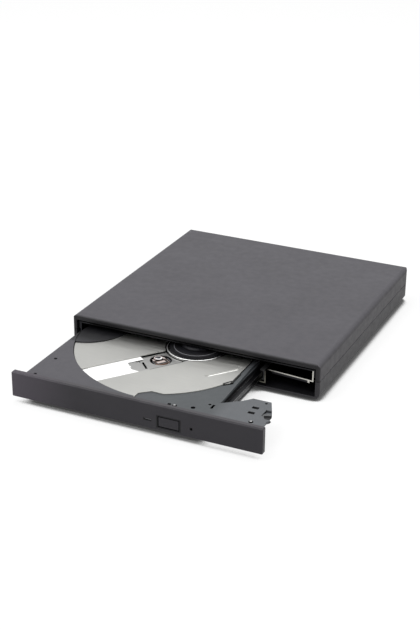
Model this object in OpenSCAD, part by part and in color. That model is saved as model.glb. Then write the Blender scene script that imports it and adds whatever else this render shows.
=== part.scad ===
// External disc drive: a slim tray drive inside a two-piece plastic enclosure, with the tray pulled
// part way out.
// X runs along the bezel, Y runs into the drive, Z is up, and the feet stand on Z = 0.

/* [Enclosure] */
// Thickness of the top wall
wall_top = 2.4; // [1.6:0.1:3]
// Thickness of the side and rear walls
wall_side = 2.1; // [1.4:0.1:2.6]
// Thickness of the bottom wall
wall_bottom = 1.6; // [1.2:0.1:2.4]
// Height of the seam between the shells, above the underside
seam_h = 9.4; // [9.2:0.1:11]
// Gap at the seam
seam_gap = 0.3; // [0.1:0.05:0.6]
// Radius of the upper edges
top_round = 2.4; // [1:0.1:3.4]
// Radius of the lower edges
bottom_round = 3.2; // [1:0.1:4]
// Radius of the rear corners seen from above
corner_round = 4; // [1:0.5:5]
// Radius of the front edges
front_round = 1.2; // [0.4:0.1:1.5]
// How far the bezel stands out of the enclosure when the tray is shut
front_set = 1.8; // [0:0.1:2]
// Space behind the drive for the connectors
rear_space = 6.3; // [6:0.1:12]
// Diameter of a rubber foot
foot_d = 9; // [6:0.5:14]
// Height of the feet below the underside
foot_stand = 1; // [0.5:0.1:2]
// Distance of the feet from the edges
foot_inset = 13; // [9:0.5:20]

/* [Bezel] */
// Width of the bezel
bezel_w = 128; // [124:0.5:134]
// Height of the bezel
bezel_h = 12.7; // [12.2:0.1:15]
// Thickness of the bezel
bezel_t = 2.4; // [1.8:0.1:3]
// Gap below the bezel when the tray is shut
bezel_gap = 0.45; // [0.3:0.05:1]
// Gap above the bezel when the tray is shut
head_gap = 1.25; // [0.3:0.05:1.5]
// Gap beside the bezel when the tray is shut
bezel_side_gap = 0.5; // [0.4:0.1:2]
// Radius of the bezel's corners
bezel_round = 0.6; // [0.4:0.1:1.5]
// Chamfer along the upper front edge of the bezel
bezel_chamfer = 0.6; // [0.2:0.1:1]
// Width of the eject button
button_w = 10; // [8:0.1:14]
// Height of the eject button
button_h = 4.5; // [3.5:0.1:6]
// Gap around the eject button
button_gap = 0.45; // [0.3:0.05:0.6]
// Distance from the right side of the tray to the middle of the button
button_inset = 15.5; // [12:0.5:24]
// Travel of the button
button_travel = 0.8; // [0.4:0.1:1]
// Width of the lamp window
lamp_w = 3.6; // [2:0.1:5]
// Height of the lamp window
lamp_h = 0.8; // [0.5:0.1:1.4]
// Diameter of the emergency hole
pin_hole_d = 1.2; // [0.8:0.1:2]

/* [Drive chassis] */
// Thickness of the sheet steel
sheet = 0.6; // [0.4:0.05:0.8]
// Inset of the chassis from the ends of the bezel
chassis_inset = 1; // [0.5:0.1:2]
// Set-back of the chassis behind the front of the enclosure
chassis_front = 3.2; // [2.8:0.1:5]
// Clear width of the deep bay that the tray runs in
bay_w = 100.4; // [98:0.2:103]
// Height of the raised floor beside the bay, above the underside of the chassis
step_h = 6.6; // [5.6:0.1:6.8]
// Width of the gap at each side of the tray that the rails run in
rail_zone = 4.5; // [4.2:0.1:5.2]
// Length of a slide rail
rail_len = 108; // [90:1:112]
// Share of the tray's way that the rails slide
rail_share = 0.62; // [0.5:0.01:0.66]

/* [Tray] */
// How far the tray stands out of the enclosure
tray_out = 60; // [20:1:110]
// Travel of the tray from shut to open
tray_travel = 128; // [110:1:130]
// Diameter of the disc
disc_d = 120; // [119:0.1:121]
// Thickness of the disc
disc_t = 1.2; // [1:0.1:1.4]
// Gap between the disc and the rim of its well
well_gap = 0.7; // [0.4:0.1:1.5]
// Strip between the bezel's face and the well
front_strip = 7.3; // [6.6:0.1:9]
// Distance from the hub to the back of the tray
tray_back = 53; // [50:0.5:55]
// Drop from the top of the bezel to the rim of the tray
rim_drop = 2.45; // [2.2:0.05:3]
// Drop from the rim to the right deck
deck_drop = 1.3; // [0.8:0.1:1.6]
// Thickness of the deck
deck_t = 1.3; // [1:0.1:1.6]
// Thickness of the tray's walls
tray_wall = 1.2; // [0.9:0.1:1.6]
// Thickness of the tray's bottom cover
skin_t = 0.4; // [0.3:0.05:0.6]
// Thickness of the silver cover plate
plate_t = 0.4; // [0.3:0.05:0.6]
// Length of the wing behind the bezel's face
wing_d = 31; // [29:0.5:36]

/* [Turntable] */
// Drop from the rim of the tray to the disc's seat
seat_drop = 0.2; // [0:0.05:0.3]
// Diameter of the steel rotor
rotor_d = 30.2; // [26:0.2:30.4]
// Diameter of the black table on the rotor
table_d = 26.8; // [24:0.2:27]
// Diameter of the disc's centre hole
disc_bore = 15; // [14.8:0.05:15.2]
// How far the clamp jaws press in
jaw_travel = 0.6; // [0.4:0.05:0.8]
// Width of a clamp jaw
jaw_w = 3; // [2:0.1:4]
// Diameter of the spindle shaft
spindle_d = 2; // [1.5:0.1:2.5]

/* [Pickup] */
// Direction of the pickup's travel, outward from the hub
slot_angle = 232.4; // [225:0.2:240]
// Width of the pickup slot
slot_w = 15.1; // [14:0.1:16]
// Offset of the slot from the line through the hub
slot_shift = 3.9; // [3:0.05:4.4]
// Distance from the hub to the lens at rest
lens_r = 21.4; // [21:0.1:22.4]
// Travel of the pickup
sled_travel = 34; // [28:0.5:34]
// Diameter of the guide rods
rod_d = 3; // [2:0.1:3.2]
// Diameter of the lead screw
screw_d = 2.4; // [1.8:0.1:3]
// Pitch of the lead screw
screw_pitch = 3; // [1.5:0.1:4]
// Diameter of the objective lens
lens_d = 3.4; // [3:0.1:4]
// Travel of the lens each way from the middle
focus_travel = 0.4; // [0.2:0.05:0.5]

/* [Connectors] */
// Width of the data socket's shell
socket_w = 7.7; // [7:0.1:8.4]
// Height of the data socket's shell
socket_h = 3.9; // [3.4:0.1:4.2]
// Length of the data socket's shell
socket_d = 7.9; // [7:0.1:8]
// Bore of the power jack
jack_bore = 3.5; // [3:0.1:3.6]
// Pin of the power jack
jack_pin = 1.3; // [0.9:0.1:1.6]

/* [Clearances] */
// Gap around parts that slide past each other
slide_gap = 0.15; // [0.1:0.01:0.25]
// Radial gap of a shaft in its bore
shaft_gap = 0.03; // [0.02:0.005:0.06]
// Gap around parts that are set into an opening
fit_gap = 0.25; // [0.1:0.05:0.4]
// Gap between the tray's underside and the chassis
tray_gap = 0.4; // [0.3:0.05:0.8]

/* [Hidden] */
$fn = 64;
// Overlap of cutters past the faces that they cut
eps = 1;

// Heights
z_case = foot_stand;
z_inner = z_case + wall_bottom;
z_bezel = z_inner + bezel_gap;
bezel_mid = z_bezel + bezel_h / 2;
enc_h = wall_bottom + bezel_gap + bezel_h + head_gap + wall_top;
z_top = z_case + enc_h;
z_ceiling = z_top - wall_top;
z_seam = z_case + seam_h;
pan_rise = 0.35;
z_pan = z_bezel + pan_rise;
z_pan_top = z_pan + sheet;
z_step = z_pan + step_h;
cover_drop = 0.05;
z_cover = z_bezel + bezel_h - cover_drop;
z_cover_low = z_cover - sheet;
z_skin = z_pan_top + tray_gap;
z_body = z_skin + skin_t;
z_rim = z_bezel + bezel_h - rim_drop;
z_deck = z_rim - deck_drop;
z_deck_low = z_deck - deck_t;
z_plate = z_deck + plate_t;
z_seat = z_rim - seat_drop;

// Widths, from the left wall of the bay
enc_w = bezel_w + 2 * (bezel_side_gap + wall_side);
chassis_half = bezel_w / 2 - chassis_inset;
bay_left = -chassis_half + sheet;
bay_right = bay_left + bay_w;
side_left = bay_left + rail_zone;
side_right = bay_right - rail_zone;
deck_over_left = 2;
deck_over_right = 0.7;
deck_left = side_left - deck_over_left;
deck_right = side_right + deck_over_right;
button_x = side_right - button_inset;
wing_inset = 2;
wing_right = bezel_w / 2 - wing_inset;
hub_from_bay = 62.4;
hub_x = bay_left + hub_from_bay;

// Depths, from the front of the enclosure or from the face of the bezel
disc_r = disc_d / 2;
well_r = disc_r + well_gap;
hub_y = front_strip + well_r;
tray_d = hub_y + tray_back;
disc_rear_gap = 1;
chassis_back = hub_y + disc_r + disc_rear_gap;
chassis_end = chassis_back + sheet;
enc_d = chassis_end + rear_space + wall_side;
rear_inner = enc_d - wall_side;
front_y = (tray_out - enc_d) / 2;
tray_y = front_y - tray_out;
rail_y = front_y - rail_share * tray_out;
front_wall_y = bezel_t + 0.6;
front_wall_end = front_wall_y + tray_wall;
rear_wall_y = tray_d - tray_wall;

// Traverse: the sprung frame with the motor, the rods and the pickup
frame_lift = 1.2;
frame_t = 0.8;
z_frame = z_body + frame_lift;
z_frame_top = z_frame + frame_t;
axis_lift = 1.7;
z_axis = z_frame_top + axis_lift;
rod_r = rod_d / 2;
slot_low = slot_shift - slot_w / 2;
slot_high = slot_shift + slot_w / 2;
main_rod_n = slot_low - rod_r - 1;
sub_rod_n = slot_high + rod_r + 1.1;
window_low = main_rod_n - rod_r - 1.7;
window_high = sub_rod_n + rod_r + 1.1;
screw_n = window_low - 3;
arm_w = 6;
rotor_r = rotor_d / 2;
rod_in = rotor_r + 0.2;
rest_d = 3;
rest_w = 4.4;
rod_out = sled_travel + 39;
sled_in = 14;
sled_out = 31.5;
z_sled = z_body + 0.7;
z_sled_top = z_deck - 1;
cover_sheet = 0.3;
motor_len = 13;
motor_in = rod_out - 14;

// Turntable
table_r = table_d / 2;
spindle_r = spindle_d / 2;
ring_t = 0.2;
ring_w = 3.5;
table_t = 0.9;
z_table = z_seat - ring_t - table_t;
rotor_lip = 0.3;
rotor_sheet = 0.8;
bearing_r = spindle_r + 1.4;
hub_clear = 0.2;
hub_r = disc_bore / 2 - hub_clear;
z_hub_top = z_seat + disc_t + 0.4;
jaw_nose = jaw_travel;
jaw_in = 4;
jaw_foot = 0.35;
jaw_angle = 75;
nose_cone = 0.55;
shoulder_w = 0.8;

// Rails
guide_t = 0.7;
guide_reach = guide_t + 1.6;
rail_t = 0.6;
rail_h = 3.6;
rail_clear = 0.35;
groove_t = 0.3;
groove_h = 1;
z_rail = z_deck_low - slide_gap - guide_t - rail_h - rail_clear;
tongue_h = rail_h - 2 * rail_t - 2 * slide_gap;
rail_start = bezel_t + 0.5;

// Boards and rear connectors
board_t = 1;
z_main_board = z_body + 0.3;
z_bridge = z_inner + board_t;
z_bridge_top = z_bridge + board_t;
rear_board_gap = 0.4;
z_rear_board = z_pan_top + rear_board_gap;
rear_board_y = tray_d + 1.4;
jack_w = 6;
jack_h = jack_bore + 1;
jack_d = 9.6;
jack_inset = 5;
jack_x = chassis_half - jack_inset;
socket_space = 3.15;
socket_back = 1.2;
usb_x = jack_x - jack_w / 2 - socket_space - socket_w / 2;
boss_r = 2.6;
screw_r = 1;
boss_space = 4.55;
boss_y = rear_inner - rear_space / 2;
boss_right = usb_x - socket_w / 2 - boss_space - boss_r;
boss_left = -boss_right;
link_w = 22;
link_h = 4;
link_space = 2.4;
link_clear = 0.5;
link_right = min(boss_right - boss_r - link_space, bay_right - guide_reach - link_clear);
link_left = link_right - link_w;
strip_mid = (bay_right + chassis_half) / 2;
flex_t = 0.15;
flex_w = 10;
flex_lane = hub_x - 8;
flex_lane_2 = flex_lane + 14;
flex_front = 62;
flex_lift = 0.02;

// Latch at the edge of the wing, pivot and post in tray places
latch_x = wing_right - 4.6;
latch_y = 13.5;
latch_turn = 24;
post_x = latch_x + 3.8;
post_y = latch_y + 3.7;
post_r = 1;
post_gap = 0.3;
latch_floor = 0.3;
latch_skin = 0.3;
latch_pin_r = 0.8;

// Sprung pusher at the rear left of the tray
pusher_x = side_left + 4.6;
pusher_r = 1.4;
pusher_travel = 5;
pusher_tip = chassis_back - 0.4;
pusher_block_y = rear_wall_y - 17;
pusher_block_d = 4;
collar_r = 2.3;
collar_t = 1.2;
pusher_z = z_deck_low - collar_r - 0.4;
collar_y = rear_wall_y - 0.3 - collar_t;

// Places of the damper, board and cover screws, in tray places
damper_r = 3;
damper_spots = [
    [side_right - tray_wall - damper_r - 0.4, hub_y - 6], [side_left + 8, hub_y + 7],
    [hub_x - 16.5, front_wall_end + 5]
];
skin_boss_r = 2.2;
pusher_tail = 1;
skin_spots = [
    [side_left + 4.4, front_wall_end + 4], [side_right - 3.8, front_wall_end + 4],
    [side_left + 4.4, pusher_block_y - pusher_tail - pusher_travel - skin_boss_r - 0.5],
    [side_right - 3.8, rear_wall_y - 4]
];
main_board_spots = [[hub_x - 30, rear_wall_y - 2.3], [hub_x + 20, rear_wall_y - 2.3]];
switch_spots = [[button_x - 14.5, front_wall_end + 8], [button_x + 7.5, front_wall_end + 8]];
post_small_r = 1.4;

function ring_sector(r, a) = [r * cos(a), r * sin(a)];

// Shared shapes
module box(lo, hi) translate(lo) cube(hi - lo);

module in_case() translate([0, front_y, 0]) children();

module in_tray() translate([0, tray_y, 0]) children();

module at_hub() in_tray() translate([hub_x, hub_y, 0]) children();

module on_slot() at_hub() rotate(slot_angle) children();

module rect(x0, x1, y0, y1) translate([x0, y0]) square([x1 - x0, y1 - y0]);

// What a round of radius r takes off the corner at the origin
module corner_cut(r) difference() {
    translate([-eps, -eps]) square(r + eps);
    translate([r, r]) circle(r);
}

// A box section standing on y = 0, with round upper and lower corners
module case_section(w, h, r_top, r_low) difference() {
    translate([-w / 2, 0]) square([w, h]);
    for (s = [0, 1]) mirror([s, 0]) {
        translate([-w / 2, 0]) corner_cut(r_low);
        translate([-w / 2, h]) mirror([0, 1]) corner_cut(r_top);
    }
}

module along_y(len) rotate([90, 0, 0]) mirror([0, 0, 1]) linear_extrude(len) children();

// The closed outer form of the enclosure
module case_form() in_case() intersection() {
    translate([0, front_set, z_case]) along_y(enc_d - front_set)
        case_section(enc_w, enc_h, top_round, bottom_round);
    translate([-enc_w / 2, 0, z_case]) rotate([90, 0, 90]) linear_extrude(enc_w) difference() {
        translate([front_set, 0]) square([enc_d - front_set, enc_h]);
        translate([front_set, 0]) corner_cut(front_round);
        translate([front_set, enc_h]) mirror([0, 1]) corner_cut(front_round);
        translate([enc_d, 0]) mirror([1, 0]) corner_cut(bottom_round);
        translate([enc_d, enc_h]) rotate(180) corner_cut(top_round);
    }
    translate([0, 0, z_case]) linear_extrude(enc_h) difference() {
        rect(-enc_w / 2, enc_w / 2, front_set, enc_d);
        for (s = [0, 1]) mirror([s, 0]) {
            translate([enc_w / 2, enc_d]) rotate(180) corner_cut(corner_round);
            translate([-enc_w / 2, front_set]) corner_cut(front_round);
        }
    }
}

module case_hollow() in_case()
    box([-enc_w / 2 + wall_side, -eps, z_inner], [enc_w / 2 - wall_side, rear_inner, z_ceiling]);

// A screw with its head on z = 0, pointing up
module screw_up(head_r, head_t, shank_r, len) {
    cylinder(r = head_r, h = head_t);
    cylinder(r = shank_r, h = len);
}

// Enclosure
lip_t = 0.7;
lip_h = 1.2;
pad = 9;
pad_inset = 18;

module upper_shell() color("#2c2b2f") {
    difference() {
        intersection() {
            case_form();
            in_case() box([-enc_w, -eps, z_seam + seam_gap], [enc_w, enc_d + eps, z_top + eps]);
        }
        case_hollow();
        in_case() box(
            [-enc_w / 2 + wall_side - lip_t - slide_gap, -eps, z_seam - eps],
            [enc_w / 2 - wall_side + lip_t + slide_gap, rear_inner + lip_t + slide_gap,
                z_seam + lip_h + seam_gap]);
    }
    in_case() {
        for (x = [bay_left + pad_inset, -bay_left - pad_inset], y = [30, 100])
            box([x - pad / 2, y - pad / 2, z_cover], [x + pad / 2, y + pad / 2, z_ceiling]);
        for (x = [boss_left, boss_right]) translate([x, boss_y, z_seam + seam_gap]) difference() {
            cylinder(r = boss_r, h = z_ceiling - z_seam - seam_gap);
            translate([0, 0, -eps]) cylinder(r = screw_r + shaft_gap, h = 5 + eps);
        }
    }
}

module rear_openings() in_case() {
    box([usb_x - socket_w / 2 - fit_gap, rear_inner - eps, z_bridge_top - fit_gap],
        [usb_x + socket_w / 2 + fit_gap, enc_d + eps, z_bridge_top + socket_h + fit_gap]);
    translate([jack_x, rear_inner - eps, z_bridge_top + jack_h / 2]) rotate([-90, 0, 0])
        cylinder(d = jack_bore + 2 * fit_gap, h = wall_side + 2 * eps);
}

module foot_places() in_case()
    for (x = [-enc_w / 2 + foot_inset, enc_w / 2 - foot_inset], y = [foot_inset, enc_d - foot_inset])
        translate([x, y, 0]) children();

foot_recess = 0.6;
screw_head_r = 1.9;
screw_head_t = 1;

module lower_shell() color("#2c2b2f") difference() {
    union() {
        difference() {
            intersection() {
                case_form();
                in_case() box([-enc_w, -eps, z_case - eps], [enc_w, enc_d + eps, z_seam]);
            }
            case_hollow();
        }
        difference() {
            intersection() {
                case_form();
                in_case() box([-enc_w / 2 + wall_side - lip_t, 0, z_seam - lip_h],
                    [enc_w / 2 - wall_side + lip_t, rear_inner + lip_t, z_seam + lip_h]);
            }
            case_hollow();
        }
        in_case() {
            for (x = [bay_left + pad_inset, bay_right - pad_inset], y = [30, 100])
                box([x - pad / 2, y - pad / 2, z_inner - 0.1], [x + pad / 2, y + pad / 2, z_pan]);
            for (y = [38, 88])
                box([strip_mid - 3, y, z_inner - 0.1], [strip_mid + 3, y + 2, z_step - sheet]);
            for (x = [boss_left, boss_right]) translate([x, boss_y, z_inner - 0.1])
                cylinder(r = boss_r, h = z_seam - z_inner + 0.1);
            for (p = bridge_spots) translate([p[0], p[1], z_inner - 0.1])
                cylinder(r = boss_r - 0.8, h = z_bridge - z_inner + 0.1);
        }
    }
    rear_openings();
    foot_places() translate([0, 0, z_case - eps]) cylinder(d = foot_d + fit_gap, h = foot_recess + eps);
    in_case() for (x = [boss_left, boss_right]) translate([x, boss_y, z_case - eps]) {
        cylinder(r = screw_r + shaft_gap, h = enc_h);
        cylinder(r = screw_head_r + fit_gap, h = screw_head_t + fit_gap + eps);
    }
    in_case() for (p = bridge_spots) translate([p[0], p[1], z_case + 0.8])
        cylinder(r = 0.8 + shaft_gap, h = z_bridge);
}

module rubber_feet() color("#1a1a1b") foot_places() {
    cylinder(d = foot_d - 0.8, h = foot_stand);
    translate([0, 0, 0.3]) cylinder(d = foot_d, h = z_case + foot_recess - 0.3);
}

module shell_screws() color("#8c8c90") in_case()
    for (x = [boss_left, boss_right]) translate([x, boss_y, z_case + fit_gap])
        screw_up(screw_head_r, screw_head_t, screw_r, z_seam + 4 - z_case);

// Drive chassis
rear_notch_low = z_rear_board + board_t;
front_slant = 2.4;
hem_h = 1;
tab = 6;

module cover_tabs(grow) for (x = [-chassis_half + sheet, chassis_half - sheet - tab], y = [24, 96])
    translate([x + grow, y + grow, 0]) square(tab - 2 * grow);

module drive_chassis() color("#a9a79f") in_case() {
    difference() {
        union() {
            box([-chassis_half, chassis_front, z_pan], [bay_left, chassis_end, z_cover_low]);
            box([-chassis_half, chassis_front, z_pan], [bay_right + sheet, chassis_end, z_pan_top]);
            box([bay_right, chassis_front, z_pan], [bay_right + sheet, chassis_end, z_step]);
            translate([0, 0, z_step - sheet]) linear_extrude(sheet) polygon([
                [bay_right, chassis_front + front_slant], [chassis_half, chassis_front],
                [chassis_half, chassis_end], [bay_right, chassis_end]]);
            box([chassis_half - sheet, chassis_front, z_step - sheet],
                [chassis_half, chassis_end, z_cover_low]);
            box([-chassis_half, chassis_back, z_pan], [bay_right + sheet, chassis_end, z_cover_low]);
            box([bay_right, chassis_back, z_step - sheet], [chassis_half, chassis_end, z_cover_low]);
            front_hem();
            translate([0, 0, z_cover_low - sheet]) linear_extrude(sheet) cover_tabs(0);
        }
        box([link_left - fit_gap, chassis_back - eps, rear_notch_low - fit_gap],
            [link_right + fit_gap, chassis_end + eps, rear_notch_low + link_h + fit_gap]);
        for (p = tab_screw_spots()) translate([p[0], p[1], z_cover_low - 2 * sheet])
            cylinder(r = 0.7 + shaft_gap, h = 3 * sheet);
    }
    for (x = [link_left - 6, link_right + 2]) translate([x, rear_board_y + 3, z_pan_top - 0.1])
        cylinder(r = 1.5, h = rear_board_gap + 0.1);
}

// Turned-down front edge of the raised floor
module front_hem() translate([0, 0, z_step - sheet - hem_h]) linear_extrude(hem_h + 0.1) polygon([
    [bay_right + 3, chassis_front + front_slant * 0.88],
        [chassis_half - 2, chassis_front + front_slant * 0.08],
    [chassis_half - 2, chassis_front + front_slant * 0.08 + sheet],
    [bay_right + 3, chassis_front + front_slant * 0.88 + sheet]]);

function tab_screw_spots() = [for (x = [-chassis_half + sheet + tab / 2, chassis_half - sheet - tab / 2],
    y = [24 + tab / 2, 96 + tab / 2]) [x, y]];

module drive_top_cover() color("#b9b8b3") in_case() difference() {
    union() {
        box([-chassis_half - sheet, chassis_front, z_cover_low],
            [chassis_half + sheet, chassis_end, z_cover]);
        for (s = [0, 1]) mirror([s, 0, 0])
            box([chassis_half, chassis_front, z_step + 2], [chassis_half + sheet, chassis_end, z_cover]);
    }
    for (p = tab_screw_spots()) translate([p[0], p[1], z_cover_low - eps])
        cylinder(r = 0.7 + shaft_gap, h = 4);
}

module cover_screws() color("#8c8c90") in_case()
    for (p = tab_screw_spots()) translate([p[0], p[1], z_cover + 0.3]) mirror([0, 0, 1])
        screw_up(1.5, 0.3, 0.7, 0.3 + 2 * sheet);

// Rail guide on a wall at x = 0, opening to +X
module guide_form() {
    gap = slide_gap;
    h = rail_h + 2 * gap + 2 * guide_t;
    z0 = z_rail - gap - guide_t;
    box([0, chassis_front, z0], [guide_t, chassis_back, z0 + h]);
    for (z = [z0, z0 + h - guide_t]) box([0, chassis_front, z], [guide_reach, chassis_back, z + guide_t]);
}

module left_rail_guide() color("#d8d6cc") in_case() translate([bay_left, 0, 0]) guide_form();

module right_rail_guide() color("#3a3a3c") in_case() translate([bay_right, 0, 0]) mirror([1, 0, 0])
    guide_form();

// Slide rail in a guide on a wall at x = 0
module rail_form() {
    x0 = guide_t + slide_gap;
    reach = x0 + 2.6;
    difference() {
        box([x0, rail_start, z_rail], [x0 + rail_t, rail_start + rail_len, z_rail + rail_h]);
        box([x0 - eps, rail_start - eps, z_rail + rail_h / 2 - groove_h],
            [x0 + groove_t, rail_start + rail_len + eps, z_rail + rail_h / 2]);
    }
    for (z = [z_rail, z_rail + rail_h - rail_t])
        box([x0, rail_start, z], [reach, rail_start + rail_len, z + rail_t]);
}

module in_rail() translate([0, rail_y, 0]) children();

module left_slide_rail() color("#9a9a98") in_rail() translate([bay_left, 0, 0]) rail_form();

module right_slide_rail() color("#9a9a98") in_rail() translate([bay_right, 0, 0]) mirror([1, 0, 0])
    rail_form();

module latch_post() color("#b0b0b0") in_case() translate([post_x, post_y, z_step]) {
    cylinder(r = post_r + 0.15, h = 0.3);
    cylinder(r = post_r, h = z_deck - z_step - 0.1);
}

// Boards and sockets at the rear
module rear_board() color("#2f6b45") in_case()
    box([link_left - 12, rear_board_y, z_rear_board],
        [bay_right - guide_reach - 0.4, chassis_back - 0.3, z_rear_board + board_t]);

module rear_connector() color("#d9d6c8") in_case()
    box([link_left, rear_board_y + 1, z_rear_board + board_t],
        [link_right, chassis_end + 0.4, z_rear_board + board_t + link_h]);

// Flat cable: a lane from the rear board, a cross lane, and a lane that rolls over to the tray's board
module flex_cable() color("#a8742f") {
    low = z_pan_top + flex_lift;
    high = z_main_board + board_t;
    bend_r = (high - low) / 2;
    tray_end = tray_d - 2.4 - tray_out;
    bend_y = (tray_end + flex_front) / 2 + 37;
    in_case() {
        box([flex_lane_2, flex_front, low], [flex_lane_2 + flex_w, rear_board_y + 1.5, low + flex_t]);
        box([flex_lane, flex_front, low], [flex_lane_2 + flex_w, flex_front + flex_w, low + flex_t]);
        box([flex_lane, flex_front, low], [flex_lane + flex_w, bend_y, low + flex_t]);
        box([flex_lane, tray_end, high], [flex_lane + flex_w, bend_y, high + flex_t]);
        translate([flex_lane, bend_y, low + bend_r + flex_t / 2]) rotate([90, 0, 90])
            linear_extrude(flex_w)
            difference() {
                circle(bend_r + flex_t / 2);
                circle(bend_r - flex_t / 2);
                translate([-2 * bend_r, -2 * bend_r]) square([2 * bend_r, 4 * bend_r]);
            }
    }
}

bridge_front = chassis_back - 17;
bridge_right = chassis_half + 0.8;
bridge_spots = [[bay_right + 4, bridge_front + 4], [chassis_half - 2, bridge_front + 4]];

module bridge_board() color("#2f6b45") in_case() translate([0, 0, z_bridge]) linear_extrude(board_t)
    difference() {
    union() {
        rect(bay_right + 1.6, bridge_right, bridge_front, rear_inner - 0.2);
        rect(link_left - 2, bridge_right, chassis_end + 0.4, rear_inner - 0.2);
    }
    translate([boss_right, boss_y]) circle(boss_r + fit_gap);
    for (p = bridge_spots) translate(p) circle(0.8 + shaft_gap);
}

module bridge_chips() color("#1d1d1f") in_case() {
    y0 = bridge_front + 7;
    box([bridge_right - 17.8, y0, z_bridge_top], [bridge_right - 10.8, y0 + 7, z_bridge_top + 1]);
    box([bridge_right - 9.4, y0 + 1, z_bridge_top], [bridge_right - 7.2, y0 + 4.2, z_bridge_top + 1.2]);
}

module bridge_board_screws() color("#8c8c90") in_case()
    for (p = bridge_spots) translate([p[0], p[1], z_bridge_top + 0.6]) mirror([0, 0, 1])
        screw_up(1.5, 0.6, 0.8, 0.6 + board_t + 1.2);

module link_connector() color("#26262a") in_case()
    difference() {
        box([link_left, chassis_end + 0.9, z_bridge_top],
            [link_right, rear_inner - 0.7, z_rear_board + board_t + link_h]);
        box([link_left + 1, chassis_end + 0.9 - eps, z_rear_board + board_t + 1],
            [link_right - 1, chassis_end + 2.4, z_rear_board + board_t + link_h - 1]);
    }

socket_t = 0.4;

// Tapered mouth of the data socket, seen from behind
module socket_outline(shrink) {
    w = socket_w / 2 - shrink;
    polygon([
        [-w, socket_h - shrink], [w, socket_h - shrink], [w, 1.5], [w - 0.9, shrink],
        [-w + 0.9, shrink], [-w, 1.5]]);
}

module usb_socket() color("#b8b8ba") in_case() translate([usb_x, enc_d - socket_d - 0.3, z_bridge_top])
    difference() {
    along_y(socket_d) socket_outline(0);
    translate([0, socket_back, 0]) along_y(socket_d) socket_outline(socket_t);
}

module usb_contacts() color("#1c1c1e") in_case() translate([usb_x, enc_d - socket_d - 0.3, z_bridge_top])
    box([-1.7, socket_back, socket_h / 2], [1.7, socket_d - 1.2, socket_h / 2 + 0.9]);

module power_jack() color("#1c1c1e") in_case()
    translate([jack_x, rear_inner - jack_d - 0.1, z_bridge_top])
    difference() {
        union() {
            box([-jack_w / 2, 0, 0], [jack_w / 2, jack_d, jack_h]);
            translate([0, jack_d - 0.1, jack_h / 2]) rotate([-90, 0, 0])
                cylinder(d = jack_bore + 2 * fit_gap - 0.2, h = wall_side - 0.1);
        }
        translate([0, 1.4, jack_h / 2]) rotate([-90, 0, 0])
            cylinder(d = jack_bore - 0.4, h = jack_d + wall_side);
    }

module power_jack_pin() color("#c8c8ca") in_case()
    translate([jack_x, rear_inner - jack_d - 0.1 + 1.4, z_bridge_top + jack_h / 2]) rotate([-90, 0, 0])
        cylinder(d = jack_pin, h = jack_d - 2);

// Tray outlines, in tray places
bump_x = hub_x - 3.4;
arc_x = hub_x - 16;
arc_y = hub_y - 8;
arc_r = 49.5;
strip_x = deck_right - 3.5;
strip_y = hub_y - 24.7;
ledge = 2.6;
plate_gap = 0.4;
ear_r = 21.5;
ear_x = deck_left - 0.6;
hub_hole_gap = 0.7;
channel_gap = 0.35;

// The deck's right edge runs in towards the back
slant = 1.6;
slant_start = wing_d - 6;
slant_end = hub_y - 6;

module tray_rect(inset) polygon([
    [deck_left + inset, bezel_t], [deck_right - inset, bezel_t], [deck_right - inset, slant_start],
    [deck_right - slant - inset, slant_end], [deck_right - slant - inset, tray_d - inset],
    [deck_left + inset, tray_d - inset]]);

module disc_circle(r) translate([hub_x, hub_y]) circle(r, $fn = 128);

module ear_circle(grow) translate([ear_x, hub_y]) circle(ear_r + grow, $fn = 96);

// The area of the silver plate, grown or shrunk evenly
module plate_zone(grow) intersection() {
    disc_circle(well_r - plate_gap + grow);
    union() {
        rect(deck_left, bump_x + grow, bezel_t, tray_d - 2 + grow);
        translate([arc_x, arc_y]) circle(arc_r + grow, $fn = 96);
        rect(deck_left, strip_x + grow, strip_y, tray_d - 2 + grow);
    }
    rect(deck_left, strip_x + grow, bezel_t, tray_d - 2 + grow);
}

// Tab at the right edge of the plate, and the slit in the deck along its front
tab_out = 0.6;
tab_low = 5.9;
tab_high = 7.1;
slit_w = 1.1;

module plate_tab() translate([strip_x, strip_y]) polygon([
    [-tab_out - 2, -tab_low], [tab_out, tab_out - tab_low + 2.4],
    [tab_out, tab_high], [-tab_out, tab_high]]);

module plate_slit() translate([strip_x, strip_y]) polygon([
    [-tab_out - 2, -tab_low - slit_w], [tab_out + slit_w / 2, tab_out - tab_low + 2],
    [tab_out + slit_w / 2, tab_out - tab_low + 3], [-tab_out - 2, -tab_low + slit_w]]);

bump_w = 12;
bump_d = 16.3;

module bump(grow) intersection() {
    polygon([
        [bump_x - grow, bezel_t + 3], [bump_x - grow, bump_d - 4], [bump_x + 4.6, bump_d + grow],
        [bump_x + bump_w, bump_d - 0.2 + grow], [bump_x + bump_w + 2 + grow, bezel_t + 3]]);
    tray_rect(0);
}

// Wing at the right of the bezel
wing_front = 1.8;
wing_waist = 2;

module wing() difference() {
    polygon([
        [deck_right - 1, bezel_t], [wing_right - wing_front, bezel_t],
        [wing_right - wing_waist, latch_y - 0.4], [wing_right - wing_waist / 2, latch_y + 0.9],
        [wing_right - 0.9, latch_y + 3.1], [wing_right - 3.4, latch_y + 9.5],
        [wing_right - 6.9, wing_d], [wing_right - 16, wing_d], [wing_right - 19.3, wing_d - 4],
        [deck_right - 1, wing_d - 11.5]]);
    post_notch();
    for (p = wing_holes) translate([p[0], p[1]]) circle(p[2], $fn = 24);
    for (p = wing_slots) rect(p[0] - p[2] / 2, p[0] + p[2] / 2, p[1] - p[3] / 2, p[1] + p[3] / 2);
}

// Notch that the striker post runs into as the tray shuts
module post_notch() {
    translate([post_x, post_y]) circle(post_r + post_gap);
    rect(post_x - post_r - post_gap, wing_right + eps, post_y, post_y + 8);
}

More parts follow.
